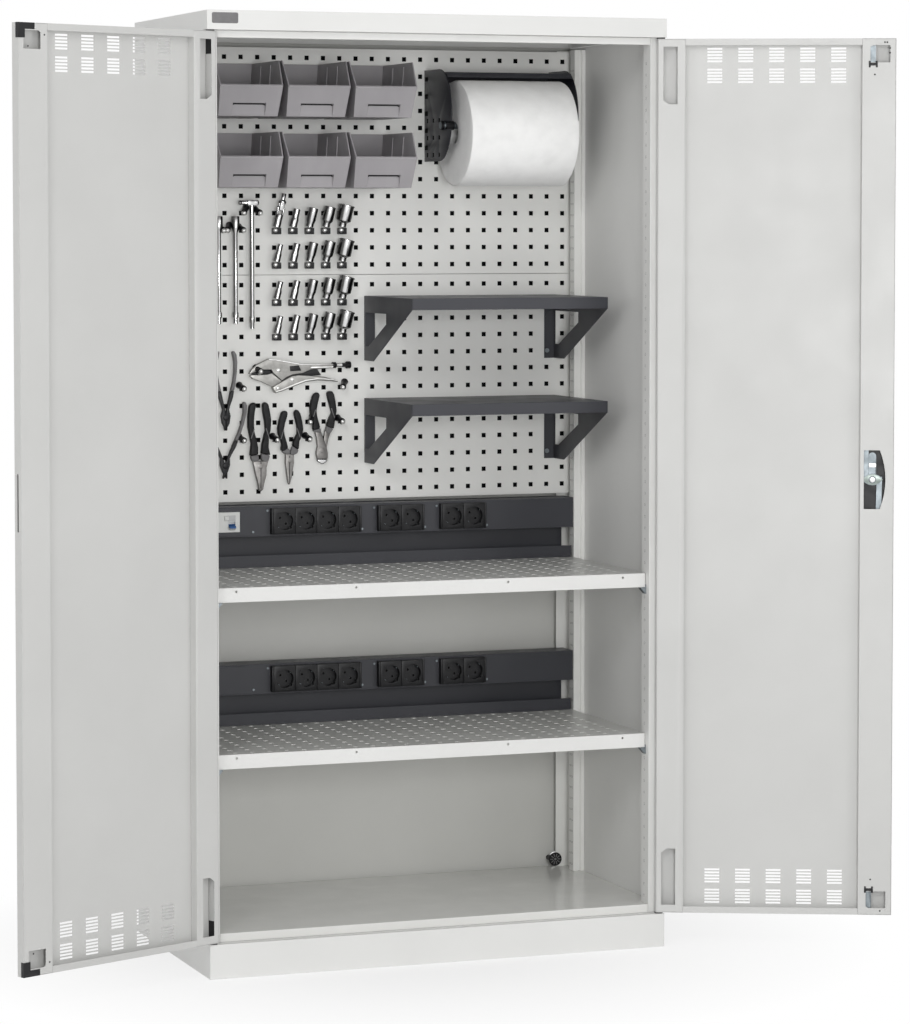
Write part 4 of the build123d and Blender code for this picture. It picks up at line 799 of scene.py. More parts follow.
def slab(name: str, outline: Outline, front: float, back: float,
         edge: float = 0.0, segments: int = 2) -> Piece:
    """Cut a flat piece from its outline in X and Z and round its edges.

    Args:
        name: The object's name.
        outline: Points in X and Z, in millimetres.
        front: Y of its front face.
        back: Y of its back face.
        edge: Width of the rounding, or 0 for none.
        segments: Steps of the rounding.

    Returns:
        The object.
    """
    piece = chained(name, [(x, front, z) for x, z in outline])
    bpy.ops.mesh.edge_face_add()
    drawn_out((0, back - front, 0))
    bpy.ops.mesh.select_all(action="SELECT")
    bpy.ops.mesh.normals_make_consistent(inside=False)
    bpy.ops.object.mode_set(mode="OBJECT")
    return rounded(piece, edge, segments) if edge else piece


def turned(name: str, profile: Outline, sides: int = 24) -> Piece:
    """Spin a profile round the Z axis into a closed piece.

    Args:
        name: The object's name.
        profile: Radii and heights in millimetres, from axis to axis.
        sides: Steps of the turn.

    Returns:
        The object.
    """
    piece = chained(name, [(radius, 0, height) for radius, height in profile])
    bpy.ops.mesh.spin(steps=sides, angle=math.tau, center=(0, 0, 0), axis=(0, 0, 1))
    bpy.ops.mesh.select_all(action="SELECT")
    bpy.ops.mesh.remove_doubles(threshold=0.01 * MM)
    bpy.ops.mesh.normals_make_consistent(inside=False)
    bpy.ops.object.mode_set(mode="OBJECT")
    return smoothed(piece, 40)


def aimed(piece: Piece, place: Point, way: Point) -> Piece:
    """Turn a piece's Z axis to a direction and move its foot to a place.

    Args:
        piece: The object, made along Z from the origin.
        place: Where its origin goes, in millimetres.
        way: The direction of its Z axis.

    Returns:
        The same object.
    """
    turn = Vector(way).to_track_quat("Z", "Y").to_matrix().to_4x4()
    return moved(piece, Matrix.Translation(Vector(place) * MM) @ turn)


def copies(piece: Piece, offsets: Iterable[Point]) -> list[Piece]:
    """Copy a piece to several offsets and delete the pattern.

    Args:
        piece: The pattern.
        offsets: Shifts in millimetres.

    Returns:
        The copies.
    """
    twins = [copied(piece, offset) for offset in offsets]
    bpy.data.objects.remove(piece, do_unlink=True)
    return twins


def stud(name: str, radius: float, height: float) -> Piece:
    """Make a domed rivet or ball set in a collar, standing along Z.

    Args:
        name: The object's name.
        radius: Radius of the dome in millimetres.
        height: Height of its top.

    Returns:
        The object.
    """
    profile = [(0, 0), (radius * 1.15, 0), (radius * 1.15, height * 0.2), (radius, height * 0.32)]
    for step in range(1, 6):
        angle = math.radians(step * 18)
        profile.append((radius * math.cos(angle), height * (0.32 + 0.68 * math.sin(angle))))
    profile[-1] = (0, height)
    return turned(name, profile, 16)


def hole_place(panel: str, column: float, row: int) -> tuple[float, float]:
    """Find the middle of a square hole in the perforated panels.

    Args:
        panel: The upper or the lower panel.
        column: Columns from the right-hand side.
        row: Rows from the panel's top.

    Returns:
        X and Z in millimetres.
    """
    first_x = (HOLE_COLUMNS - 1) / 2
    first_z = PANEL_TOPS[panel] - 22.0
    return ((first_x - column) * HOLE_PITCH, first_z - row * HOLE_PITCH)


def on_leaf(side: int) -> Matrix:
    """Matrix from a door's own frame, in metres, to the cabinet's frame.

    Args:
        side: -1 for the left door, 1 for the right one.

    Returns:
        The matrix: X runs to the free edge, Y out of the inner face and Z up.
    """
    lean = math.radians(LEAF_TURN)
    return Matrix((
        (side * math.cos(lean), -side * math.sin(lean), 0, side * HINGE_X * MM),
        (-math.sin(lean), -math.cos(lean), 0, HINGE_Y * MM),
        (0, 0, 1, 0),
        (0, 0, 0, 1),
    ))


@dataclass
class PerforatedSheet:
    """Sheet with square holes on a square pitch and folded edges, made flat facing +Z and then placed."""

    name: str
    columns: int
    rows: int
    length: float
    depth: float
    fold: float
    pitch: float = HOLE_PITCH
    hole: float = 10.0
    sheet: float = 1.2

    def build(self) -> Piece:
        """Array one perforated cell, draw out the margins, fold the edges and give the wall its thickness.

        Returns:
            The sheet, centred on the origin with its face at Z 0.
        """
        deselect()
        bpy.ops.mesh.primitive_plane_add(size=self.pitch * MM)
        piece = bpy.context.object
        piece.name = self.name
        pick(piece, lambda centre, normal: True)
        bpy.ops.mesh.inset(thickness=(self.pitch - self.hole) / 2 * MM)
        bpy.ops.mesh.delete(type="FACE")
        bpy.ops.object.mode_set(mode="OBJECT")
        for count, axis in ((self.columns, 0), (self.rows, 1)):
            step = [0.0, 0.0, 0.0]
            step[axis] = self.pitch * MM
            apply_modifier(
                piece, "ARRAY", count=count, use_relative_offset=False, use_constant_offset=True,
                constant_offset_displace=step, use_merge_vertices=True, merge_threshold=0.00001,
            )
        half = ((self.columns - 1) * self.pitch / 2, (self.rows - 1) * self.pitch / 2)
        moved(piece, Matrix.Translation(Vector((-half[0], -half[1], 0)) * MM))
        edge = [self.columns * self.pitch / 2, self.rows * self.pitch / 2]
        outer = [self.length / 2, self.depth / 2]
        for axis in (0, 1):
            for way in (-1, 1):
                gap = outer[axis] - edge[axis]
                if gap > 0.01:
                    limit = way * edge[axis]
                    pick_edges(
                        piece, lambda a, b: abs(a[axis] - limit) < 0.01 and abs(b[axis] - limit) < 0.01,
                    )
                    step = [0.0, 0.0, 0.0]
                    step[axis] = way * gap
                    drawn_out(tuple(step))
                    bpy.ops.object.mode_set(mode="OBJECT")

        def on_rim(a: Vector, b: Vector) -> bool:
            """Whether an edge lies on the sheet's outline."""
            return any(
                abs(abs(a[axis]) - outer[axis]) < 0.01 and abs(b[axis] - a[axis]) < 0.01 for axis in (0, 1)
            )

        pick_edges(piece, on_rim)
        drawn_out((0, 0, -self.fold))
        bpy.ops.mesh.select_all(action="SELECT")
        bpy.ops.mesh.normals_make_consistent(inside=False)
        bpy.ops.object.mode_set(mode="OBJECT")
        top = next(face for face in piece.data.polygons if abs(face.normal.z) > 0.9)
        if top.normal.z < 0:
            piece.data.flip_normals()
        apply_modifier(piece, "SOLIDIFY", thickness=self.sheet * MM, offset=-1, use_even_offset=True)
        return piece


@dataclass
class BackWall:
    """The two perforated panels, and a black sheet behind each of them that paints the shade seen through its
    holes.
    """

    face_y: float = 229.0
    tops: dict[str, float] = field(default_factory=lambda: {"upper": 1948.85, "lower": 1448.85})
    length: float = 988
    height: float = 498.9
    fold: float = 19.6
    shade_sheet_half: float = 493
    shade_sheet_front: float = 6
    shade_sheet_back: float = 7.5
    inset: float = 3

    def build(self) -> None:
        """Build both panels with the black sheets of painted shade behind them and dress them."""
        for row, top in self.tops.items():
            name = f"{row}_panel_sheet"
            sheet = PerforatedSheet(name, HOLE_COLUMNS, HOLE_ROWS, self.length, self.height, self.fold)
            piece = sheet.build()
            turn = Matrix.Rotation(math.radians(90), 4, "X")
            moved(piece, Matrix.Translation(Vector((0, self.face_y, top - self.height / 2)) * MM) @ turn)
            finished(piece, LIT_SHEET_PAINT, Slot.LIGHT_PAINT, Body.CARCASS, f"{row}_perforated_panel")
            # a near-black sheet just behind the panel: painted shade seen through the holes
            low = (-self.shade_sheet_half, self.face_y + self.shade_sheet_front, top - self.height + self.inset)
            high = (self.shade_sheet_half, self.face_y + self.shade_sheet_back, top - self.inset)
            gap = rounded(box(f"{row}_panel_shade_sheet", low, high), 0.4)
            finished(gap, PAINTED_SHADE_BLACK, Slot.BLACK_PLASTIC, Body.CARCASS)


@dataclass
class ShelfDecks:
    """The two shelves with perforated decks."""

    tops: dict[str, float] = field(default_factory=lambda: {"upper": 808.0, "lower": 460.0})
    front_y: float = -236.0
    back_y: float = 224.0
    columns: int = 24
    rows: int = 12
    length: float = 964.0
    lip: float = 30.0
    holes: tuple[float, ...] = (-440.0, -177.0, 165.0, 430.0)
    hole_radius: float = 2.5
    hole_drop: float = 8

    def build(self) -> None:
        """Build both shelves, drill their front lips and dress them."""
        for row, top in self.tops.items():
            depth = self.back_y - self.front_y
            name = f"{row}_shelf_deck"
            piece = PerforatedSheet(name, self.columns, self.rows, self.length, depth, self.lip).build()
            moved(piece, Matrix.Translation(Vector((0, (self.front_y + self.back_y) / 2, top)) * MM))
            z = top - self.hole_drop
            drills = [
                rod("drill", self.hole_radius, (x, self.front_y - 3, z), (x, self.front_y + 6, z), 20)
                for x in self.holes
            ]
            cut(piece, joined("drills", drills))
            # the deck takes the darkened paint as painted shade; its front lip's faces keep the cabinet's
            # light paint
            finished(piece, SHADED_DECK_PAINT, Slot.LIGHT_PAINT, Body.CARCASS, f"{row}_shelf")
            piece.data.materials.append(made(LIGHT_PAINT))
            for face in piece.data.polygons:
                if face.center.y < (self.front_y + 4) * MM:
                    face.material_index = 1


@dataclass
class PostHoles:
    """Blind rack holes in the front posts and slots in the rear uprights, dark grey as painted shade."""

    post_x: float = 483.5
    row_y: float = -231.0
    slot_y: float = 190.0
    first_z: float = 106.0
    pitch: float = 25.0
    count: int = 73

    def hole(self) -> Piece:
        """Press one blind round hole along Z."""
        return turned("hole", ((0, -0.25), (2.1, -0.25), (2.5, 0.05), (2.9, 0.0), (0, -0.4)), 10)

    def slot(self) -> Piece:
        """Press one blind slot that opens along Z."""
        piece = box("slot", (-9, -1.5, -0.35), (9, 1.5, 0.05))
        pick(piece, lambda centre, normal: normal.z > 0.9)
        bpy.ops.mesh.inset(thickness=0.35 * MM)
        drawn_out((0, 0, -0.25))
        bpy.ops.object.mode_set(mode="OBJECT")
        return piece

    def build(self) -> None:
        """Build the rack holes and the slots and dress them."""
        rises = [(0, 0, self.first_z + index * self.pitch) for index in range(self.count)]
        for side, word in ((-1, "left"), (1, "right")):
            face = side * self.post_x
            hole = aimed(self.hole(), (face, self.row_y, 0), (-side, 0, 0))
            gathered(f"{word}_post_holes", copies(hole, rises), PAINTED_HOLE_SHADE, Slot.BLACK_PLASTIC)
            turn = Matrix(((0, 0, -side, face * MM), (1, 0, 0, self.slot_y * MM), (0, 1, 0, 0), (0, 0, 0, 1)))
            slots = copies(moved(self.slot(), turn), rises)
            gathered(f"{word}_upright_slots", slots, PAINTED_HOLE_SHADE, Slot.BLACK_PLASTIC)


@dataclass
class OutletStrip:
    """Round earthed outlets in moulded blocks, one row on each strip."""

    middles: tuple[float, ...] = (909.5, 561.5)
    groups: tuple[tuple[float, int], ...] = ((-132.0, 4), (66.0, 2), (213.5, 2))
    pitch: float = 50.0
    height: float = 57.0
    face_y: float = 165.0
    back_y: float = 199.0
    radius: float = 20.0
    depth: float = 13.0
    pin_spread: float = 9.5
    pin_radius: float = 2.6
    slant: float = 45

    def module(self) -> tuple[Piece, Piece]:
        """One outlet at the origin: its moulded body and its earthing contacts.

        Returns:
            The body and the contacts.
        """
        half = self.pitch / 2 - 0.25
        body = box(
            "outlet_body", (-half, self.face_y, -self.height / 2), (half, self.back_y, self.height / 2),
        )
        rounded(body, 0.8)
        floor_y = self.face_y + self.depth
        cutters = [rod("recess", self.radius, (0, self.face_y - 2, 0), (0, floor_y, 0), 56)]
        slant = math.radians(self.slant)
        for way in (-1, 1):
            x, z = -way * self.pin_spread * math.cos(slant), way * self.pin_spread * math.sin(slant)
            cutters.append(rod("pin", self.pin_radius, (x, floor_y - 1, z), (x, floor_y + 9, z), 20))
            notch = box("notch", (-2.5, self.face_y - 2, 18), (2.5, floor_y - 1.5, 22.5))
            angle = math.radians(-self.slant if way > 0 else 180 - self.slant)
            cutters.append(moved(notch, Matrix.Rotation(angle, 4, "Y")))
        cut(body, joined("cutters", cutters))
        smoothed(body)
        clips = []
        for angle in (self.slant, 180 + self.slant):
            clip = box("clip", (-2.6, self.face_y + 1.5, 17.4), (2.6, floor_y, 19.6))
            pick(clip, lambda centre, normal: normal.y < -0.9)
            bpy.ops.transform.resize(value=(0.6, 1, 0.4))
            bpy.ops.object.mode_set(mode="OBJECT")
            clips.append(moved(clip, Matrix.Rotation(math.radians(angle), 4, "Y")))
        contacts = rounded(joined("contacts", clips), 0.3)
        return body, contacts

    def build(self) -> None:
        """Copy the outlet along both strips and dress the rows."""
        body, contacts = self.module()
        bodies, metals = [], []
        for middle in self.middles:
            for centre, count in self.groups:
                first = centre - (count - 1) * self.pitch / 2
                for index in range(count):
                    offset = (first + index * self.pitch, 0, middle)
                    bodies.append(copied(body, offset))
                    metals.append(copied(contacts, offset))
                for way in (-1, 1):
                    edge = centre + way * count * self.pitch / 2
                    low = (min(edge, edge + way * 4), self.face_y, middle - self.height / 2)
                    high = (max(edge, edge + way * 4), self.back_y, middle + self.height / 2)
                    bodies.append(rounded(box("cheek", low, high), 0.8))
        for spare in (body, contacts):
            bpy.data.objects.remove(spare, do_unlink=True)
        gathered("outlet_rows", bodies, BLACK_PLASTIC, Slot.BLACK_PLASTIC, "outlet_blocks")
        gathered("outlet_contacts", metals, ZINC, Slot.ZINC_STEEL)


@dataclass
class ToolPegs:
    """Black moulded pegs with a steel ball at each tip, in the panels' holes."""

    face_y: float = 228.7
    pegs: tuple[tuple[str, float, int, int], ...] = (
        ("upper", 19, 9, 1), ("upper", 20, 9, -1), ("upper", 20, 10, 1), ("upper", 21, 10, -1),
        ("upper", 21.2, 10, 1), ("upper", 22, 10, -1), ("lower", 20, 6, 1), ("lower", 22, 6, -1),
        ("lower", 20, 9, 1), ("lower", 22, 9, -1), ("lower", 18, 9, 1), ("lower", 16, 9, 1),
        ("lower", 16, 8, -1), ("lower", 14, 8, 1), ("lower", 14, 6, -1), ("lower", 19, 5, 1),
    )

    def peg(self, lean: int) -> tuple[Piece, Piece]:
        """Turn one tapered peg that splays to a side, and the ball in its tip.

        Args:
            lean: 1 when the tip goes to the right, -1 to the left.

        Returns:
            The peg's body and its ball.
        """
        root = Vector((-7.0, self.face_y - 1, 9.0) if lean > 0 else (11.0, self.face_y - 1, 13.0))
        tip = Vector((-1.5, self.face_y - 25, 0.5))
        reach = (tip - root).length
        horn = turned(
            "peg_horn",
            ((0, 0), (7.4, 0), (8.0, 1.6), (6.4, 6), (6.0, 15), (6.8, reach - 5), (7.0, reach - 2),
             (6.0, reach), (0, reach)), 20,
        )
        aimed(horn, tuple(root), tuple(tip - root))
        return horn, aimed(stud("peg_ball", 4.7, 4.6), tuple(tip), tuple(tip - root))

    def build(self) -> None:
        """Turn a peg for each side, copy them along the holes and dress them."""
        bodies, balls = [], []
        for lean in (-1, 1):
            horn, ball = self.peg(lean)
            places = [hole_place(panel, column, row) for panel, column, row, way in self.pegs if way == lean]
            offsets = [(x, 0, z) for x, z in places]
            bodies += copies(horn, offsets)
            balls += copies(ball, offsets)
        gathered("tool_peg_bodies", bodies, BLACK_PLASTIC, Slot.BLACK_PLASTIC, "tool_pegs")
        gathered("tool_peg_balls", balls, BRIGHT_STEEL_AND_HIGHLIGHT, Slot.TOOL_STEEL)


@dataclass
class SocketSet:
    """Graded drive sockets that stand tilted on spring clips, and a universal joint."""

    face_y: float = 228.7
    columns: tuple[int, ...] = (18, 17, 16, 15, 14)
    rows: tuple[tuple[str, int], ...] = (("upper", 10), ("upper", 12), ("lower", 1), ("lower", 3))
    radii: tuple[float, ...] = (7.4, 8.7, 10.5, 12.5, 16.5)
    lengths: tuple[float, ...] = (39.5, 41.0, 43.0, 46.0, 50.0)
    lean: float = 12.0
    nod: float = 6.0
    stand_off: float = 17.0
    widest_foot: float = 8.5
    seat: float = 6.3

    def socket(self, radius: float, length: float) -> Piece:
        """Turn one socket with its drive end, step, rim and bore.

        Args:
            radius: Radius of the wide end in millimetres.
            length: Its length.

        Returns:
            The socket, standing on the origin.
        """
        foot = min(radius, self.widest_foot)
        if radius < 8:
            outside = [(foot, 1), (foot, 17), (5.9, 22), (5.9, length - 0.8)]
            mouth = 5.2
        elif radius < 9:
            outside = [
                (foot, 1), (foot, 18), (foot - 0.5, 19), (radius - 1.3, 24), (radius - 1.3, length - 0.8),
            ]
            mouth = radius - 2
        else:
            outside = [(foot, 1), (foot, 9), (foot + 0.5, 10), (radius - 0.4, 14.5), (radius, 15.5),
                       (radius, length - 4)]
            if radius > 14:
                outside += [(radius + 1.1, length - 3.4)]
            outside += [(outside[-1][0], length - 0.8)]
            mouth = radius - 1
        profile = [(0, 0), (foot - 1, 0), *outside, (mouth, length), (mouth - 1.2, length - 0.4),
                   (mouth - 1.2, length - 17), (0, length - 17)]
        return turned("socket", profile, 12 if radius > 9 else 24)

    def universal_joint(self) -> Piece:
        """Build the joint's barrel, two forks, cross and drive stub.

        Returns:
            The joint, standing on the origin.
        """
        parts = [
            turned("barrel", ((0, 0), (7.6, 0), (8.5, 1), (8.5, 27), (7.4, 30), (0, 30)), 28),
            turned(
                "stub",
                ((0, 53), (8.2, 53), (8.6, 54), (8.6, 58), (6, 61), (5, 62), (5, 75), (4.2, 76), (0, 76)), 28,
            ),
        ]
        for way in (-1, 1):
            low, high = sorted((way * 4.6, way * 8.2))
            parts.append(rounded(box("fork", (low, -5, 28), (high, 5, 46)), 1.4, 3))
            parts.append(rounded(box("fork", (-5, low, 38), (5, high, 56)), 1.4, 3))
        parts.append(rounded(box("cross", (-4.4, -4.4, 37), (4.4, 4.4, 46)), 1.2, 3))
        parts.append(aimed(turned("pin", ((0, 0), (2.2, 0), (2.6, 0.6), (2.6, 18.6), (2.2, 19), (0, 19)), 16),
                           (-9.5, 0, 41.5), (1, 0, 0)))
        return joined("universal_joint", parts)

    def build(self) -> None:
        """Place the sockets, their clips and the clips' balls, and dress them."""
        steel, clips, balls = [], [], []
        tilt = Matrix.Rotation(math.radians(self.nod), 4, "X") @ Matrix.Rotation(
            math.radians(self.lean), 4, "Y",
        )
        clip = rounded(box("clip", (-6.5, self.face_y - 18, -8), (11.0, self.face_y, 6)), 1.0, 3)
        ball = aimed(stud("clip_ball", 4.5, 4.2), (-2.4, self.face_y - 17.6, 1.0), (0, -1, 0))
        for line, (panel, row) in enumerate(self.rows):
            for place, column in enumerate(self.columns):
                x, z = hole_place(panel, column, row)
                radius = self.radii[place]
                first = line == 0 and place == 0
                piece = self.universal_joint() if first else self.socket(radius, self.lengths[place])
                foot = min(radius, self.widest_foot)
                foot_z = z + self.seat + foot * math.sin(math.radians(self.lean))
                shift = Matrix.Translation(Vector((x, self.face_y - self.stand_off, foot_z)) * MM)
                steel.append(moved(piece, shift @ tilt))
                clips.append(copied(clip, (x, 0, z)))
                balls.append(copied(ball, (x, 0, z)))
        for spare in (clip, ball):
            bpy.data.objects.remove(spare, do_unlink=True)
        gathered("socket_row", steel, PAINTED_REFLECTION_STEEL, Slot.TOOL_STEEL, "drive_sockets")
        gathered("socket_clip_row", clips, BLACK_PLASTIC, Slot.BLACK_PLASTIC, "socket_clips")
        gathered("socket_clip_balls", balls, BRIGHT_STEEL_AND_HIGHLIGHT, Slot.TOOL_STEEL)


@dataclass
class DriveBars:
    """Two extension bars and a sliding T-bar that hang between pegs."""

    axis_y: float = 216.2
    bars: tuple[Point, ...] = ((-264.0, 1593.2, 248.0), (-302.0, 1555.2, 199.0), (-340.0, 1555.2, 199.0))

    def shaft(self, length: float) -> Piece:
        """Turn a bar with its barrel, thin shaft and drive end.

        Args:
            length: Length from the seat to the drive end in millimetres.

        Returns:
            The bar, with its seat on the origin.
        """
        return turned(
            "bar",
            ((0, -length - 14), (3.4, -length - 14), (4.4, -length - 13), (4.4, -length - 1),
             (6.4, -length + 1), (6.4, -length + 10), (4.6, -length + 14), (4.6, -14), (8.4, -3), (8.8, 0),
             (8.8, 22), (8.0, 23.4), (5.6, 23.4), (5.6, 14), (0, 14)), 28,
        )

    def build(self) -> None:
        """Build the bars and the T-bar's sliding head, and dress them."""
        parts = []
        for place, (x, seat_z, length) in enumerate(self.bars):
            if place == 0:
                bar = turned(
                    "t_shaft",
                    ((0, -length - 14), (3.6, -length - 14), (4.6, -length - 13), (4.6, -length - 1),
                     (5.6, -length + 1), (5.6, -length + 12), (4.6, -length + 15), (4.6, 9), (0, 9)), 28,
                )
                head = rounded(box("t_head", (-12, -9, 9), (12, 9, 21)), 1.6, 3)
                slide = turned(
                    "t_slide",
                    ((0, -30), (4.2, -30), (5.2, -29), (5.2, -26), (4.4, -25), (4.4, -23), (5.2, -22),
                     (5.2, 14), (4.4, 15), (0, 15)), 24,
                )
                aimed(slide, (0, 0, 15.2), (1, 0, 0))
                bar = joined("t_bar", [bar, head, slide])
            else:
                bar = self.shaft(length)
            parts.append(moved(bar, Matrix.Translation(Vector((x, self.axis_y, seat_z)) * MM)))
        gathered("hanging_bars", parts, PAINTED_REFLECTION_STEEL, Slot.TOOL_STEEL, "drive_bars")


@dataclass
class LockingPliers:
    """Locking pliers with a curved jaw, two pressed handles, rivets and an adjusting screw, with painted
    highlights along their fold edges and painted shade in their gaps.
    """

    front_y: float = 216.5
    back_y: float = 227.5
    upper_half: Outline = (
        (-271.0, 1231.9), (-266.4, 1241.0), (-255.1, 1251.3), (-241.4, 1258.2), (-226.6, 1264.8),
        (-211.8, 1263.9), (-184.4, 1259.3), (-154.8, 1253.6), (-125.2, 1252.0), (-76.2, 1252.0),
        (-76.2, 1242.9), (-104.7, 1241.0), (-127.5, 1239.9), (-148.0, 1231.9), (-170.8, 1229.2),
        (-184.4, 1223.9), (-195.8, 1215.9), (-216.3, 1234.2), (-219.7, 1240.6), (-245.9, 1241.0),
        (-261.9, 1234.2),
    )
    lower_jaw: Outline = (
        (-269.9, 1228.5), (-261.9, 1230.1), (-230.0, 1230.1), (-218.6, 1233.0), (-195.8, 1215.9),
        (-204.9, 1202.2), (-216.3, 1202.2), (-243.7, 1214.8), (-261.9, 1220.5),
    )
    lower_handle: Outline = (
        (-218.6, 1202.2), (-193.6, 1215.9), (-173.1, 1226.2), (-157.1, 1228.5), (-125.2, 1226.2),
        (-95.6, 1222.8), (-68.3, 1215.9), (-64.8, 1211.3), (-79.7, 1213.6), (-113.8, 1215.9),
        (-141.2, 1212.5), (-163.9, 1204.5), (-193.6, 1193.1), (-211.8, 1188.5),
    )
    rivets: Outline = ((-203.8, 1239.2), (-171.9, 1218.2), (-206.0, 1200.0), (-247.0, 1234.5))
    # strips along the fold edges in near-white steel: painted highlights
    folds: tuple[tuple[str, float, float, float, Outline], ...] = (
        ("handle_bead", -2.4, 3, 1.0, (
            (-127, 1246.5), (-77, 1246.5), (-76.4, 1244.7), (-77, 1243.2), (-126, 1242.6), (-131, 1243.6),
        )),
        ("upper_edge", -2.2, 3, 0.9, (
            (-226.0, 1264.4), (-211.8, 1263.7), (-184.4, 1259.0), (-154.8, 1253.4), (-125.2, 1251.8),
            (-77.0, 1251.8), (-77.0, 1249.6), (-125.2, 1249.4), (-155.2, 1250.6), (-184.8, 1256.0),
            (-212.0, 1261.0), (-225.4, 1261.8),
        )),
        ("lower_edge", -3.0, 2, 0.9, (
            (-210.0, 1190.5), (-193.0, 1195.6), (-163.4, 1207.0), (-141.0, 1214.6), (-113.8, 1218.2),
            (-79.5, 1216.0), (-66.0, 1212.6), (-66.2, 1214.4), (-79.6, 1218.6), (-113.8, 1221.0),
            (-142.0, 1217.6), (-164.6, 1210.0), (-194.0, 1198.6), (-211.0, 1192.6),
        )),
    )
    # dark plates in the jaws' gap, by the release link and in the handle's window: painted shade
    shade_gaps: tuple[tuple[str, float, float, float, Outline], ...] = (
        ("jaw_gap", 6, 10.6, 0.5, (
            (-263.0, 1231.4), (-252.8, 1238.7), (-241.4, 1241.5), (-219.7, 1240.0), (-215.0, 1231.0),
            (-230.0, 1227.3), (-252.8, 1227.8),
        )),
        ("release_link", 2.5, 9.8, 0.6, (
            (-194.0, 1216.8), (-175.3, 1229.5), (-148.0, 1234.6), (-125.2, 1241.0), (-113.0, 1240.6),
            (-104.0, 1227.0), (-157.1, 1225.5), (-175.3, 1221.8),
        )),
        ("handle_window", -0.3, 2, 0.4, (
            (-178.1, 1247.9), (-156.6, 1249.7), (-150.7, 1237.6), (-176.5, 1236.5),
        )),
    )
    screw_y: float = 222
    screw_z: float = 1248.8
    screw: tuple[tuple[str, float, int, Outline], ...] = (
        ("screw_thread", -67, 20, ((0, 0), (4.6, 0), (4.6, 12), (0, 12))),
        ("screw_collar", -77.5, 24, ((0, 0), (6.4, 0), (6.8, 1), (6.8, 8), (6.0, 9), (0, 9))),
        ("screw_knob", -55.5, 12, (
            (0, 0), (4.4, 0), (4.4, 9), (6.6, 10), (8.1, 11.5), (8.1, 19.5), (7, 21), (0, 21),
        )),
    )

    def build(self) -> None:
        """Build the jaws, handles, rivets and screw, the painted highlights along the folds and the painted
        shade in the gaps, and dress them.
        """
        plates = [
            slab("upper_half", self.upper_half, self.front_y, self.back_y, 1.4, 3),
            slab("lower_jaw", self.lower_jaw, self.front_y + 1.5, self.back_y, 1.2, 3),
            slab("lower_handle", self.lower_handle, self.front_y - 1.0, self.back_y, 2.2, 3),
        ]
        screw = (
            aimed(turned(name, profile, sides), (x, self.screw_y, self.screw_z), (1, 0, 0))
            for name, x, sides, profile in self.screw
        )
        folds = [
            slab(name, outline, self.front_y + front, self.front_y + back, edge, 3)
            for name, front, back, edge, outline in self.folds
        ]
        folds.append(next(screw))
        gathered("locking_pliers_plates", plates, NICKEL, Slot.TOOL_STEEL, "locking_pliers")
        gathered("locking_pliers_fold_highlights", folds, BRIGHT_STEEL_AND_HIGHLIGHT, Slot.TOOL_STEEL)
        heads = copies(
            aimed(stud("rivet", 4.0, 2.2), (0, 0, 0), (0, -1, 0)),
            [(x, self.front_y - (0.8 if z < 1230 else -0.2), z) for x, z in self.rivets],
        )
        gathered("locking_pliers_rivets", heads, BRIGHT_STEEL_AND_HIGHLIGHT, Slot.TOOL_STEEL)
        # the black screw parts, and the dark plates of painted shade in the gaps
        darks = list(screw)
        for name, front, back, edge, outline in self.shade_gaps:
            darks.append(slab(name, outline, self.front_y + front, self.front_y + back, edge))
        gathered("locking_pliers_darks", darks, BLACK_PLASTIC, Slot.BLACK_PLASTIC)


@dataclass(frozen=True)
class PliersShape:
    """Outlines of one pair of hanging pliers, in X and Z."""

    name: str
    grips: tuple[Outline, ...]
    sleeves: tuple[Outline, ...]
    head: tuple[Outline, ...]
    slit: Outline


COMBINATION = PliersShape(
    "combination",
    (
        ((-266.2, 1166.7), (-260.5, 1169.0), (-255.3, 1167.8), (-254.8, 1163.3), (-258.2, 1147.3),
         (-259.8, 1129.0), (-259.4, 1106.2), (-253.7, 1085.6), (-250.3, 1069.7), (-250.3, 1053.7),
         (-269.0, 1051.4), (-268.0, 1060.5), (-266.2, 1078.8), (-269.6, 1094.8), (-273.5, 1115.3),
         (-273.5, 1138.2), (-270.8, 1161.0)),
        ((-239.6, 1165.6), (-234.3, 1169.7), (-229.8, 1167.8), (-226.4, 1163.3), (-222.9, 1147.3),
         (-220.2, 1129.0), (-221.8, 1106.2), (-225.7, 1092.5), (-226.4, 1069.7), (-222.5, 1051.9),
         (-243.4, 1056.4), (-241.6, 1074.2), (-236.6, 1094.8), (-233.2, 1106.2), (-235.5, 1129.0),
         (-238.9, 1147.3), (-240.0, 1161.0)),
    ),
    (
        ((-268.0, 1050.9), (-250.3, 1053.7), (-247.5, 1041.1), (-259.4, 1037.2), (-265.1, 1041.1)),
        ((-243.4, 1056.0), (-222.9, 1051.4), (-226.4, 1038.8), (-233.2, 1036.6), (-243.4, 1041.1)),
    ),
    (
        ((-262.8, 1040.0), (-245.7, 1038.8), (-226.4, 1040.0), (-230.9, 1024.0), (-230.9, 1008.0),
         (-235.5, 992.0), (-238.9, 976.1), (-243.9, 972.2), (-248.5, 973.5), (-251.4, 992.0),
         (-256.0, 1008.0), (-259.4, 1024.0)),
    ),
    ((-245.1, 1037.0), (-242.9, 1037.0), (-243.1, 1009.0), (-243.7, 979.0), (-244.9, 979.0)),
)
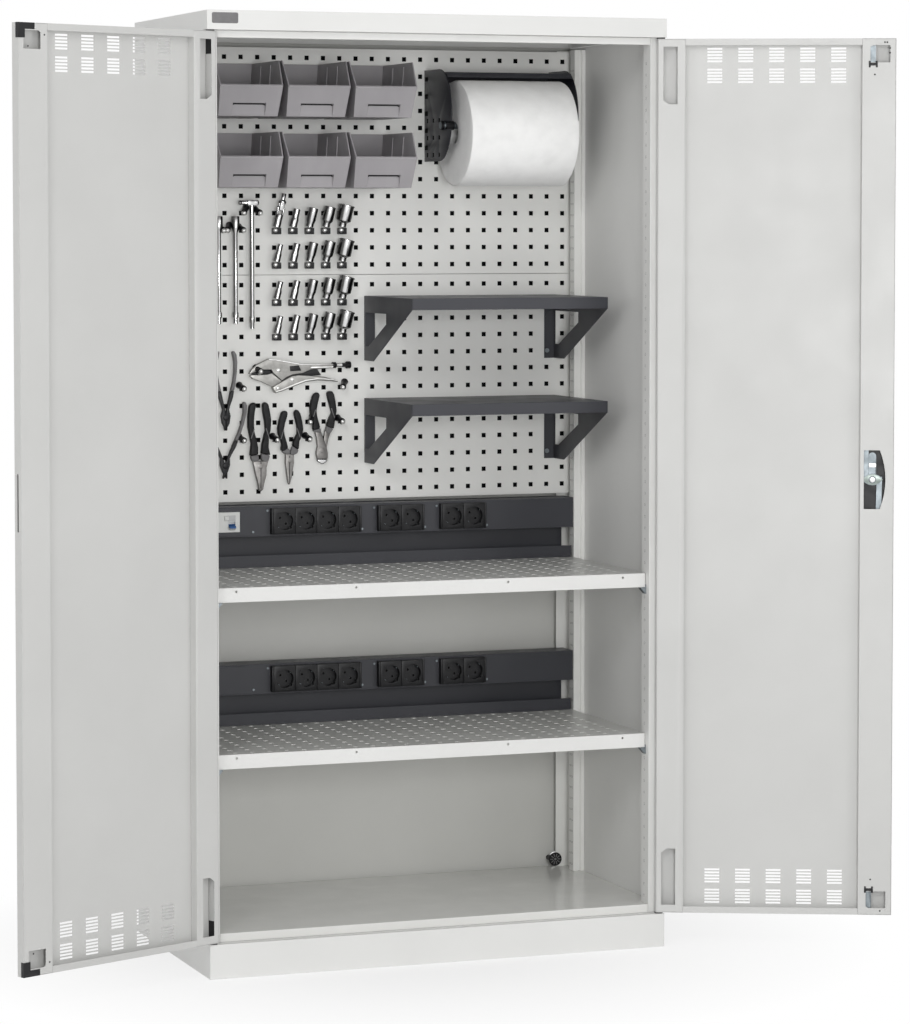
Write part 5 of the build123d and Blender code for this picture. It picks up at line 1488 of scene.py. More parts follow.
LONG_NOSE = PliersShape(
    "long_nose",
    (
        ((-193.6, 1148.6), (-185.6, 1149.7), (-181.7, 1145.1), (-183.3, 1136.0), (-187.9, 1122.3),
         (-190.8, 1108.6), (-189.5, 1097.2), (-185.6, 1083.5), (-181.0, 1067.5), (-189.0, 1060.7),
         (-197.7, 1060.7), (-195.8, 1074.4), (-198.1, 1085.8), (-203.8, 1097.2), (-204.9, 1110.9),
         (-201.5, 1129.2), (-197.0, 1142.9)),
        ((-165.1, 1150.2), (-158.2, 1151.5), (-152.5, 1142.9), (-148.0, 1124.6), (-145.7, 1108.6),
         (-148.0, 1094.9), (-154.8, 1081.2), (-156.6, 1062.5), (-163.9, 1066.4), (-171.2, 1071.6),
         (-168.5, 1083.5), (-160.5, 1097.2), (-159.4, 1108.6), (-162.8, 1124.6), (-167.4, 1142.9)),
    ),
    (
        (
            (-195.8, 1059.5), (-181.0, 1067.1), (-176.0, 1060.7), (-176.0, 1053.4), (-184.4, 1052.2),
            (-191.3, 1055.0),
        ),
        (
            (-175.4, 1060.7), (-171.2, 1070.9), (-156.6, 1061.8), (-159.4, 1055.0), (-167.4, 1051.1),
            (-175.3, 1051.5),
        ),
    ),
    (
        ((-186.7, 1054.3), (-167.4, 1052.7), (-167.4, 1033.3), (-171.9, 1005.9), (-176.6, 986.6),
         (-179.4, 985.2), (-181.6, 990.0), (-184.4, 1010.4), (-187.4, 1033.3)),
    ),
    ((-178.4, 1050.0), (-176.6, 1050.0), (-177.2, 1010.0), (-178.6, 990.0), (-179.4, 990.0)),
)
SIDE_CUTTER = PliersShape(
    "side_cutter",
    (
        ((-116.1, 1189.0), (-109.3, 1188.5), (-107.4, 1181.7), (-111.5, 1165.7), (-115.0, 1147.4),
         (-112.7, 1133.7), (-105.9, 1110.9), (-111.5, 1106.3), (-124.1, 1105.9), (-122.9, 1124.6),
         (-128.6, 1136.0), (-130.2, 1154.3), (-127.5, 1170.3), (-122.9, 1183.9)),
        ((-88.8, 1189.7), (-83.1, 1191.7), (-78.5, 1190.8), (-74.0, 1183.9), (-70.5, 1165.7), (-68.3, 1147.4),
         (-71.7, 1129.2), (-74.6, 1108.2), (-84.2, 1109.7), (-92.2, 1114.3), (-86.5, 1129.2), (-79.7, 1142.9),
         (-83.1, 1156.6), (-87.6, 1172.5), (-90.6, 1186.2)),
    ),
    (
        ((-123.4, 1105.2), (-105.9, 1109.7), (-103.6, 1099.5), (-113.8, 1099.5), (-120.7, 1101.3)),
        ((-94.5, 1104.0), (-91.5, 1113.6), (-75.1, 1107.2), (-81.9, 1098.3), (-88.8, 1096.1)),
    ),
    (
        ((-118.4, 1101.3), (-103.6, 1101.3), (-97.9, 1083.5), (-91.0, 1065.2), (-88.2, 1053.2),
         (-88.8, 1040.7), (-113.8, 1040.7), (-116.1, 1053.5), (-112.7, 1069.8), (-115.0, 1085.8)),
        ((-95.1, 1104.5), (-80.8, 1099.9), (-86.5, 1085.8), (-91.0, 1064.1), (-98.3, 1083.5)),
    ),
    ((-102.6, 1041.0), (-100.6, 1041.0), (-100.9, 1036.0), (-101.6, 1031.4)),
)


@dataclass
class HangingPliers:
    """Three pairs of pliers hung by their grips, and two pairs of circlip pliers."""

    axis_y: float = 222.7
    pairs: tuple[PliersShape, ...] = (COMBINATION, LONG_NOSE, SIDE_CUTTER)
    circlips: tuple[Point, ...] = ((-324.0, 2.0, 0.0), (-326.0, -104.0, 11.0))
    circlip_joint_z: float = 1135
    cutter_tip: Outline = (
        (-113.8, 1040.2), (-88.8, 1040.2), (-90.6, 1034.7), (-97.2, 1030.7), (-101.3, 1029.0),
        (-105.4, 1030.7), (-112.4, 1034.6),
    )
    rivets: Outline = ((-244.5, 1028.0), (-177.2, 1040.0), (-102.0, 1060.0))
    circlip_sleeve: Outline = (
        (14.1, 1279.8), (19.8, 1280.9), (24.4, 1273.0), (26.2, 1257.0), (25.1, 1234.2), (22.1, 1211.3),
        (18.7, 1194.2), (10.7, 1193.5), (15.3, 1211.3), (18.7, 1234.2), (18.7, 1257.0), (15.3, 1273.0),
    )
    circlip_leg: Outline = (
        (10.7, 1193.1), (18.7, 1193.5), (16.4, 1179.4), (9.6, 1161.1), (7.3, 1152.0), (10.7, 1138.3),
        (8.4, 1122.3), (3.4, 1113.2), (2.8, 1106.2), (0.3, 1106.0), (0.3, 1145.1),
    )

    def seam(self, grip: Outline, way: int) -> Piece:
        """Lay a slanting coloured seam across a grip's waist.

        Args:
            grip: The grip's outline.
            way: 1 when the seam rises to the right, -1 when it falls.

        Returns:
            The seam.
        """
        low = min(z for _, z in grip)
        high = max(z for _, z in grip)
        middle_z = low + 0.42 * (high - low)
        near = [x for x, z in grip if abs(z - middle_z) < 22]
        middle = (min(near) + max(near)) / 2
        half = 4.6
        outline = (
            (middle - way * half, middle_z - 11.0), (middle - way * (half - 1.9), middle_z - 11.6),
            (middle + way * half, middle_z + 9.6), (middle + way * (half - 1.7), middle_z + 10.8),
        )
        return slab("grip_seam", outline, self.axis_y - 7.2, self.axis_y - 3, 0.5)

    def circlip(self, x: float, drop: float, spread: float) -> tuple[Piece, Piece]:
        """Build a pair of circlip pliers.

        Args:
            x: X of its middle in millimetres.
            drop: How far it hangs below the first pair.
            spread: Turn of each half about the joint, in degrees.

        Returns:
            The grey sleeves and the dark legs.
        """
        sleeves, legs = [], []
        joint_z = self.circlip_joint_z
        sine, cosine = math.sin(math.radians(spread)), math.cos(math.radians(spread))
        for way in (-1, 1):
            for outline, front, keep in ((self.circlip_sleeve, 5.6, sleeves), (self.circlip_leg, 4.6, legs)):
                points = [
                    (
                        x + way * (a * cosine + (z - joint_z) * sine),
                        joint_z + drop - a * sine + (z - joint_z) * cosine,
                    )
                    for a, z in outline
                ]
                lowest = self.axis_y - front - (0.4 if way > 0 else 0)
                keep.append(slab("circlip_half", points, lowest, self.axis_y + 5.4, 2.2, 3))
        boss = aimed(stud("circlip_boss", 6.5, 2.2), (x, self.axis_y - 4.6, joint_z + drop), (0, -1, 0))
        return joined("circlip_sleeves", sleeves), joined("circlip_legs", [*legs, boss])

    def build(self) -> None:
        """Build the grips, seams, sleeves, heads and slits, and dress them."""
        grips, seams, sleeves, heads, slits = [], [], [], [], []
        front = self.axis_y - 6
        for pair in self.pairs:
            for way, outline in zip((1, -1), pair.grips):
                grips.append(slab("grip", outline, front - 0.6, self.axis_y + 5.6, 3.4, 4))
                seams.append(self.seam(outline, way))
            for outline in pair.sleeves:
                sleeves.append(slab("sleeve", outline, front + 0.6, self.axis_y + 5, 2.4, 3))
            for place, outline in enumerate(pair.head):
                heads.append(slab("head", outline, self.axis_y - 4 + place, self.axis_y + 4, 1.6, 3))
            slits.append(slab("slit", pair.slit, self.axis_y - 4.3, self.axis_y - 2, 0.3))
        tips = [slab("cutter_tip", self.cutter_tip, self.axis_y - 4.8, self.axis_y + 4, 2.2, 3)]
        for x, z in self.rivets:
            heads.append(aimed(stud("joint_rivet", 5.6, 0.7), (x, self.axis_y - 3.9, z), (0, -1, 0)))
        for x, drop, spread in self.circlips:
            grey, dark = self.circlip(x, drop, spread)
            sleeves.append(grey)
            slits.append(dark)
        gathered("pliers_grip_sleeves", grips, GRIP, Slot.GRIP_RUBBER, "pliers_grips")
        gathered("pliers_grip_seams", seams, SLEEVE_GREY, Slot.GRIP_RUBBER)
        gathered("pliers_shoulders", sleeves, SLEEVE_GREY, Slot.GRIP_RUBBER)
        gathered("pliers_jaws", heads, SATIN, Slot.TOOL_STEEL, "pliers_heads")
        gathered("pliers_tips", tips, PAINTED_REFLECTION_STEEL, Slot.TOOL_STEEL)
        gathered("circlip_pliers_legs", slits, BLACK_PLASTIC, Slot.GRIP_RUBBER, "circlip_pliers")


@dataclass
class PaperRoll:
    """Wound cleaning paper on its spindle, and the holder's pierced cheeks."""

    start_x: float = 167.0
    length: float = 252.0
    axis_y: float = 104.0
    axis_z: float = 1762.0
    radius: float = 116.4
    bore: float = 24.8
    spindle_radius: float = 8.3
    cheek_x: float = 143.0
    holder: float = 300.0
    cheek_top: float = 1903.0
    cheek_height: float = 203.0
    reach: float = 176.0
    straight: float = 96
    first_hole: float = 20
    face_y: float = 228.7

    def spindle_z(self) -> float:
        """Height of the spindle's middle, on which the roll's bore hangs."""
        return self.axis_z + self.bore - self.spindle_radius

    def windows(self) -> list[tuple[float, float]]:
        """Middles of a cheek's nine square holes, in Y and Z."""
        middle = self.cheek_top - self.cheek_height / 2
        return [
            (self.face_y - self.first_hole - column * HOLE_PITCH, middle - 11 - row * HOLE_PITCH)
            for column in range(3) for row in range(3)
        ]

    def roll(self) -> Piece:
        """Turn the wound body, with soft ends, and crease it a little.

        Returns:
            The roll in its place.
        """
        steps = 18
        profile = [(self.bore, 1.5), (self.bore + 2, 0)]
        profile += [
            (self.bore + 2 + (self.radius - self.bore - 9) * k / 5, 0.6 if k % 2 else 0) for k in range(1, 6)
        ]
        profile += [(self.radius - 2.2, 1.4), (self.radius, 6)]
        profile += [(self.radius, 6 + (self.length - 12) * k / steps) for k in range(1, steps)]
        profile += [(radius, self.length - height) for radius, height in reversed(profile[:9])]
        profile.append(profile[0])
        roll = turned("roll_body", profile, 120)
        for vertex in roll.data.vertices:
            place = vertex.co / MM
            reach = math.hypot(place.x, place.y)
            if reach > self.radius - 3:
                crease = noise.noise(Vector((place.x * 0.028, place.y * 0.028, place.z * 0.012)))
                ripple = noise.noise(Vector((place.x * 0.011, place.y * 0.011, place.z * 0.09)))
                vertex.co.x *= 1 - (0.35 + 0.5 * crease + 0.35 * ripple) / reach
                vertex.co.y *= 1 - (0.35 + 0.5 * crease + 0.35 * ripple) / reach
        return aimed(roll, (self.start_x, self.axis_y, self.axis_z), (1, 0, 0))

    def loose_sheet(self) -> Piece:
        """Bend the last sheet round the roll, with its torn edge towards the front.

        Returns:
            The sheet.
        """
        angle = math.radians(13)
        y = self.axis_y - self.radius * math.cos(angle)
        z = self.axis_z + self.radius * math.sin(angle)
        count = 42
        points = [
            (self.start_x + 1.5 + (self.length - 3) * k / count, y, z + (0.35 if k % 2 else -0.35))
            for k in range(count + 1)
        ]
        sheet = chained("loose_sheet", points)
        bpy.ops.mesh.spin(
            steps=30, angle=math.radians(-150), center=Vector((0, self.axis_y, self.axis_z)) * MM,
            axis=(1, 0, 0),
        )
        bpy.ops.object.mode_set(mode="OBJECT")
        apply_modifier(sheet, "SOLIDIFY", thickness=0.5 * MM, offset=0)
        bpy.ops.object.mode_set(mode="EDIT")
        bpy.ops.mesh.select_all(action="SELECT")
        bpy.ops.mesh.normals_make_consistent(inside=False)
        bpy.ops.object.mode_set(mode="OBJECT")
        return smoothed(sheet)

    def cheek(self, x: float, flange: int) -> Piece:
        """Cut one rounded cheek with its pierced square holes and its flange.

        Args:
            x: X of its outer face in millimetres.
            flange: 1 when the flange turns to the right, -1 to the left.

        Returns:
            The cheek.
        """
        bottom = self.cheek_top - self.cheek_height
        middle = self.cheek_top - self.cheek_height / 2
        front = self.face_y - self.reach
        bend = self.face_y - self.straight
        outline = [(self.face_y, bottom), (self.face_y, self.cheek_top), (bend, self.cheek_top)]
        for step in range(1, 18):
            angle = math.radians(90 - step * 10)
            outline.append((
                bend - (bend - front) * math.cos(angle), middle + self.cheek_height / 2 * math.sin(angle),
            ))
        outline.append((bend, bottom))
        low, high = sorted((0.0, flange * 2.0))
        plate = slab("cheek", outline, low, high)
        moved(plate, Matrix(((0, 1, 0, x * MM), (1, 0, 0, 0), (0, 0, 1, 0), (0, 0, 0, 1))))
        slot_z = self.spindle_z()
        cutters = [box("slot", (x - 4, front - 4, slot_z - 8.4), (x + 4, self.axis_y + 8.4, slot_z + 8.4))]
        cutters += [box("hole", (x - 4, y - 5, z - 5), (x + 4, y + 5, z + 5)) for y, z in self.windows()]
        cut(plate, joined("cutters", cutters))
        rounded(plate, 0.5)
        low, high = sorted((x, x + flange * 20))
        side = rounded(
            box("flange", (low, self.face_y - 2, bottom + 8), (high, self.face_y, self.cheek_top - 8)), 0.5,
        )
        return joined("cheek", [plate, side])

    def slots(self, x: float) -> Piece:
        """Press the row of slots along a cheek's rear edge as black marks of painted shade, and set black
        plates of painted shade inside its nine windows.

        Args:
            x: X of the cheek's outer face in millimetres.

        Returns:
            The slots.
        """
        marks = []
        for row in range(5):
            z = self.cheek_top - self.first_hole - row * HOLE_PITCH
            slot = box("slot", (x - 0.35, self.face_y - 22, z - 5), (x + 0.3, self.face_y - 3, z + 5))
            marks.append(rounded(slot, 0.3))
        for y, z in self.windows():
            marks.append(box("window", (x + 0.9, y - 4.9, z - 4.9), (x + 1.2, y + 4.9, z + 4.9)))
        return joined("slots", marks)

    def build(self) -> None:
        """Build the roll, its loose sheet, the cheeks and the spindle's bushes, and dress them."""
        finished(self.roll(), PAPER, Slot.PAPER, Body.ROLL, "paper_roll").name = "wound_paper"
        finished(self.loose_sheet(), PAPER, Slot.PAPER, Body.ROLL)
        cheeks = [self.cheek(self.cheek_x, 1), self.cheek(self.cheek_x + self.holder, -1)]
        gathered("pierced_cheeks", cheeks, CHEEK_PAINT, Slot.DARK_PAINT, "roll_holder_cheeks")
        # the slots and windows are black as painted shade
        slots = joined("cheek_slot_shades", [self.slots(self.cheek_x)])
        finished(slots, PAINTED_SHADE_BLACK, Slot.BLACK_PLASTIC, Body.CARCASS)
        core = turned(
            "core_tube",
            ((self.bore - 0.3, 2), (self.bore - 0.3, self.length - 2), (self.bore - 1.8, self.length - 2),
             (self.bore - 1.8, 2), (self.bore - 0.3, 2)), 48,
        )
        aimed(core, (self.start_x, self.axis_y, self.axis_z), (1, 0, 0))
        finished(core, WHITE_PLASTIC, Slot.PAPER, Body.ROLL)
        bushes = []
        for x, reach in (
            (self.cheek_x - 7.6, 6.6), (self.cheek_x + 3, 20), (self.cheek_x + self.holder + 1, 6.6),
        ):
            profile = (
                (7.9, 0), (9.6, 0), (10.4, 0.8), (10.4, reach - 0.8), (9.6, reach), (7.9, reach), (7.9, 0),
            )
            bushes.append(
                aimed(turned("bush", profile, 28), (x, self.axis_y, self.spindle_z() - 0.2), (1, 0, 0)),
            )
        gathered("spindle_bushes", bushes, BLACK_PLASTIC, Slot.BLACK_PLASTIC)


@dataclass
class BinRibs:
    """Ribs inside the six storage bins for dividers, their rolled front rims, and a dark strip of painted
    shade at the top of each grip recess.
    """

    middles: dict[str, float] = field(
        default_factory=lambda: {"left": -334.0, "middle": -182.0, "right": -30.0},
    )
    tops: dict[str, float] = field(default_factory=lambda: {"upper": 1912.0, "lower": 1760.0})
    height: float = 120.0
    base_half: float = 66.0
    rim_half: float = 73.5
    wall: float = 2.3
    lip_drop: float = 55
    lip_share: float = 65 / 120
    # outline of the painted shade strip at the top of the grip recess
    grip: Outline = (
        (-36.6, 23.4), (-34.6, 27.6), (34.6, 27.6), (36.6, 23.4), (35.2, 23.0), (33.0, 24.6), (-33.0, 24.6),
        (-35.2, 23.0),
    )
    stations: tuple[float, ...] = (75.0, 146.0)

    def build(self) -> None:
        """Build each bin's ribs, front rim and the dark strip of painted shade over its grip, and let them
        ride on the bin.
        """
        for row, top in self.tops.items():
            for column, middle in self.middles.items():
                parts = []
                base = top - self.height
                for y in self.stations:
                    for way in (-1, 1):
                        foot = middle + way * (self.base_half - self.wall + 0.4)
                        head = middle + way * (self.rim_half - self.wall - 0.6)
                        outline = (
                            (foot, base + 3), (head, top - 8), (head - way * 2.0, top - 9.5),
                            (foot - way * 2.4, base + 4.5),
                        )
                        parts.append(slab("rib", outline, y, y + 3, 0.4))
                lip_z = top - self.lip_drop
                half = self.base_half + (self.rim_half - self.base_half) * self.lip_share
                outline = (
                    (middle - half + 0.6, lip_z - 3.4), (middle + half - 0.6, lip_z - 3.4),
                    (middle + half - 0.2, lip_z - 0.1), (middle - half + 0.2, lip_z - 0.1),
                )
                parts.append(slab("rim", outline, -11.8, -7.2, 0.8, 3))
                piece = joined(f"{row}_{column}_bin_ribs", parts)
                body = Body[f"{row}_storage_{column}".upper()]
                finished(piece, BIN_PLASTIC, Slot.BIN_PLASTIC, body)
                # dark strip under the grip recess's top: painted shade
                outline = [(middle + across, base + rise) for across, rise in self.grip]
                gap = slab(f"{row}_{column}_bin_grip_shade", outline, 9.2, 13.2, 0.4)
                finished(gap, PAINTED_HOLE_SHADE, Slot.BIN_PLASTIC, body)


@dataclass
class LatchWorks:
    """Cover, nut and joggle of the latch, the rod guides, and the hinges' webs and springs on the doors."""

    hub_a: float = 455.0
    hub_z: float = 1015.0
    face_b: float = 10.5
    guide_a: float = 451.5
    guide_heights: tuple[float, ...] = (1902.0, 130.0)
    web_spans: Outline = ((122.0, 216.0), (1816.0, 1910.0))
    spring_feet: tuple[float, ...] = (DOOR_TOP - 92, DOOR_BOTTOM + 62)

    def spring(self, side: int, z: float, turns: int = 8, radius: float = 4.4, pitch: float = 3.4) -> Piece:
        """Set one pivot spring's turns of thin wire above each other.

        Args:
            side: -1 for the left door, 1 for the right one.
            z: Height of its foot in millimetres.
            turns: Number of turns.
            radius: Radius of the winding.
            pitch: Rise of each turn.

        Returns:
            The spring in its place.
        """
        rings = []
        for turn in range(turns):
            bpy.ops.mesh.primitive_torus_add(
                major_segments=24, minor_segments=8, major_radius=radius * MM, minor_radius=0.9 * MM,
                location=(0, 0, (z + turn * pitch) * MM), rotation=(math.radians(7), 0, 0),
            )
            rings.append(smoothed(settle(bpy.context.object)))
        return moved(joined("spring", rings), on_leaf(side))

    def guide(self, z: float) -> Piece:
        """Build one moulded rod guide with its two cheeks and bridge.

        Args:
            z: Height of its middle in millimetres.

        Returns:
            The guide, in the right door's frame.
        """
        a, back = self.guide_a, self.face_b - 5.2
        parts = [rounded(box("bridge", (a - 9.5, back, z - 3), (a + 9.5, self.face_b + 0.9, z + 3)), 0.8)]
        for low, high in ((a - 9.5, a - 5.5), (a + 5.5, a + 9.5)):
            parts.append(rounded(box("cheek", (low, back, z - 7), (high, self.face_b + 1.3, z + 7)), 0.9))
        return moved(joined("rod_guide", parts), on_leaf(1))

    def build(self) -> None:
        """Build the latch's fittings, the hinges' webs, the rod guides and the springs, and dress them."""
        nut = aimed(stud("cam_nut", 5.6, 1.5), (self.hub_a, 9.1, self.hub_z), (0, 1, 0))
        low, high = (self.hub_a - 7.8, 1.25, self.hub_z + 26), (self.hub_a + 7.8, 2.4, self.hub_z + 34.5)
        joggle = rounded(box("joggle", low, high), 0.5, 3)
        # the nut and joggle take near-white steel, a painted highlight on zinc parts
        bright = [moved(part, on_leaf(1)) for part in (nut, joggle)]
        finished(joined("cam_fittings", bright), BRIGHT_STEEL_AND_HIGHLIGHT, Slot.ZINC_STEEL, Body.HANDLE)
        arc = [(1 - step / 5, 11.6 * (1 - (1 - step / 5) ** 2)) for step in range(11)]
        outline = [(self.hub_a + 22 * t, self.hub_z + rise) for t, rise in arc]
        outline += [(self.hub_a - 22 * t, self.hub_z - rise) for t, rise in arc[1:-1]]
        cover = moved(slab("cam_cover", outline, 7.1, 7.7, 0.25), on_leaf(1))
        finished(cover, CAM_STEEL, Slot.ZINC_STEEL, Body.HANDLE)
        washer = turned("cam_washer", ((5.0, 0), (7.4, 0), (7.9, 0.4), (7.4, 0.9), (5.0, 0.9), (5.0, 0)), 28)
        aimed(washer, (self.hub_a, 7.6, self.hub_z), (0, 1, 0))
        finished(moved(washer, on_leaf(1)), ANTHRACITE_AND_EDGE_HIGHLIGHT, Slot.ZINC_STEEL, Body.HANDLE)
        for side, word, body in DOORS:
            walls = [
                rounded(box("wall", (5.1, -7.6, low), (5.5, 9.0, high)), 0.15) for low, high in self.web_spans
            ]
            webs = moved(joined(f"{word}_hinge_webs", walls), on_leaf(side))
            finished(webs, SHADED_DOOR_PAINT, Slot.LIGHT_PAINT, body)
        guides = joined("rod_guides", [self.guide(z) for z in self.guide_heights])
        finished(guides, BLACK_PLASTIC, Slot.BLACK_PLASTIC, Body.RIGHT_DOOR)
        for side, word, body in DOORS:
            springs = [self.spring(side, z) for z in self.spring_feet]
            finished(joined(f"{word}_pivot_springs", springs), PAINTED_REFLECTION_STEEL, Slot.ZINC_STEEL, body)


@dataclass
class SheetMarks:
    """Small punched holes with pressed rims on the doors' stiles, dark grey as painted shade."""

    face_b: float = 10.5
    left_holes: Outline = ((476.5, 1911.0), (436.0, 1934.0), (476.5, 120.0), (436.0, 98.0))
    right_holes: Outline = (
        (476.0, 1948.5), (481.0, 1948.5), (487.0, 1936.0), (487.0, 1926.0), (455.0, 1880.0), (476.0, 84.0),
        (455.0, 152.0),
    )

    def dimple(self, radius: float) -> Piece:
        """Press one blind dimple along Z.

        Args:
            radius: Its radius in millimetres.

        Returns:
            The dimple, opening along Z at the origin.
        """
        return turned(
            "dimple",
            ((0, 0.05), (radius * 0.6, 0.05), (radius * 0.9, 0.12), (radius, 0.2), (radius * 1.1, 0.05),
             (radius * 1.1, -0.2), (0, -0.2)), 16,
        )

    def build(self) -> None:
        """Press the holes along both doors and dress them."""
        for (side, word, body), holes in zip(DOORS, (self.left_holes, self.right_holes)):
            parts = []
            for a, z in holes:
                mark = aimed(self.dimple(1.7), (a, self.face_b, z), (0, 1, 0))
                parts.append(moved(mark, on_leaf(side)))
            finished(joined(f"{word}_stile_holes", parts), PAINTED_HOLE_SHADE, Slot.BLACK_PLASTIC, body)


@dataclass
class StripTrim:
    """Returned edges of the outlet strips in a lighter anthracite that is a painted highlight, their small
    screws, and the breaker's surround and bare labels.
    """

    face_y: float = 180.0
    half: float = 483.0
    bottoms: tuple[float, ...] = (876.0, 528.0)
    height: float = 67.0
    screw_x: float = -398.0
    screw_spread: float = 25
    surround: tuple[tuple[float, ...], ...] = (
        (-388, 23, -288, 29, 1.1), (-388, -29, -288, -24, 1.1), (-309, -28.6, -286, 28.6, 1.3),
    )
    labels: tuple[tuple[float, ...], ...] = ((-372, 2.5, -356, 16, 0.35), (-334, 3, -316, 15, 0.3))
    label_y: float = 175.2

    def build(self) -> None:
        """Build the returned edges, the screws, the surround and the labels, and dress them."""
        edges, screws = [], []
        for bottom in self.bottoms:
            for z in (bottom + self.height - 1.2, bottom + 0.2):
                low = (-self.half, self.face_y - 0.7, z)
                high = (self.half, self.face_y + 1.5, z + 1.0)
                edges.append(rounded(box("edge", low, high), 0.45, 3))
            for way in (1, -1):
                place = (self.screw_x, self.face_y - 3.2, bottom + self.height / 2 + way * self.screw_spread)
                screws.append(aimed(stud("cover_screw", 2.0, 1.1), place, (0, -1, 0)))
        # the edges' lighter anthracite is a painted highlight
        gathered("strip_edges", edges, ANTHRACITE_AND_EDGE_HIGHLIGHT, Slot.DARK_PAINT)
        gathered("cover_screws", screws, BLACK_PLASTIC, Slot.BLACK_PLASTIC)
        middle = self.bottoms[0] + self.height / 2
        bands = []
        for left, low, right, high, rise in self.surround:
            band = box(
                "band", (left, self.face_y - rise, middle + low), (right, self.face_y - 0.2, middle + high),
            )
            bands.append(rounded(band, 0.3))
        gathered("breaker_surround", bands, BLACK_PLASTIC, Slot.BLACK_PLASTIC)
        fields = []
        for left, low, right, high, edge in self.labels:
            label = box("label", (left, self.label_y, middle + low), (right, self.label_y + 1, middle + high))
            fields.append(rounded(label, edge))
        gathered("breaker_fields", fields, LABEL_GREY, Slot.WHITE_PLASTIC)


@dataclass
class GlandFace:
    """Black finned face of the cable gland."""

    centre: Point = (466.5, 246.0, 108.0)
    radius: float = 15.6
    fins: int = 10

    def build(self) -> None:
        """Turn the ring and the neck, set the grey slots between the fins and dress them."""
        ring = turned(
            "gland_ring", ((0, 0), (self.radius - 1, 0), (self.radius, 0.6), (self.radius, 2.2), (0, 2.2)),
            40,
        )
        aimed(ring, self.centre, (0, -1, 0))
        x, y, z = self.centre
        neck = rod("gland_neck", 6.0, (x - 5.5, y - 1, z), (x - 5.5, y + 27.5, z), 24)
        gathered("gland_face", [ring, neck], BLACK_PLASTIC, Slot.BLACK_PLASTIC, "cable_gland")
        marks = [aimed(stud("gland_middle", 2.6, 0.8), (x, y - 2.1, z), (0, -1, 0))]
        for index in range(self.fins):
            mark = rounded(box("mark", (x - 1.0, y - 2.9, z + 5.2), (x + 1.0, y - 2.1, z + 12.6)), 0.35)
            centre = Matrix.Translation(Vector((x, 0, z)) * MM)
            turn = Matrix.Rotation(math.tau * (index + 0.5) / self.fins, 4, "Y")
            marks.append(moved(mark, centre @ turn @ centre.inverted()))
        gathered("gland_slots", marks, SLEEVE_GREY, Slot.BLACK_PLASTIC)


@dataclass
class BlankBadge:
    """Plain raised plate on the cap's front, left without any writing."""

    low: tuple[float, float] = (-501.0, 1973.0)
    high: tuple[float, float] = (-445.0, 1995.0)
    face_y: float = -277.5

    def build(self) -> None:
        """Cut the plate with rounded corners and dress it."""
        (x0, z0), (x1, z1) = self.low, self.high
        corner = 3.0
        outline = []
        for x, z, start in ((x1, z1, 0), (x0, z1, 90), (x0, z0, 180), (x1, z0, 270)):
            inner_x = x - corner if x == x1 else x + corner
            inner_z = z - corner if z == z1 else z + corner
            for step in range(5):
                angle = math.radians(start + step * 22.5)
                outline.append((inner_x + corner * math.cos(angle), inner_z + corner * math.sin(angle)))
        plate = slab("blank_badge", outline, self.face_y - 0.8, self.face_y + 0.2, 0.3)
        finished(plate, SLEEVE_GREY, Slot.LIGHT_PAINT, Body.CARCASS)


@dataclass
class SoftEdges:
    """Live weld and small rounding on the sheet-metal and moulded nodes that stay on show."""

    nodes: dict[str, Piece]
    widths: dict[float, tuple[str, ...]] = field(default_factory=lambda: {
        0.9: ("top_cap", "plinth", "left_side_panel", "right_side_panel", "header_rail", "floor_panel"),
        0.6: (
            "left_door_stiles", "right_door_stiles", "upper_socket_channel", "lower_socket_channel",
            "cable_troughs", "cover_plates", "upper_tool_shelf", "lower_tool_shelf", "tool_shelf_brackets",
            "corner_guards", "breaker_body", "roll_holder_top", "rear_uprights", "shelf_clips",
        ),
        0.8: (
            "upper_bin_left", "upper_bin_middle", "upper_bin_right",
            "lower_bin_left", "lower_bin_middle", "lower_bin_right",
        ),
        1.5: ("handle_housing", "swing_handle", "cable_gland"),
        0.3: (
            "latch_hub", "upper_lock_rod", "lower_lock_rod", "lock_cylinder", "breaker_lever", "test_button",
        ),
    })

    def build(self) -> None:
        """Add the two live modifiers to each node."""
        for width, names in self.widths.items():
            for name in names:
                node = self.nodes[name]
                weld = node.modifiers.new("weld", "WELD")
                weld.merge_threshold = 0.002 * MM
                edge = node.modifiers.new("edge", "BEVEL")
                edge.width = width * MM
                edge.segments = 2
                edge.limit_method = "ANGLE"
                edge.angle_limit = math.radians(35)
                LOG.info("node %s: edges rounded by %.1f mm", name, width)


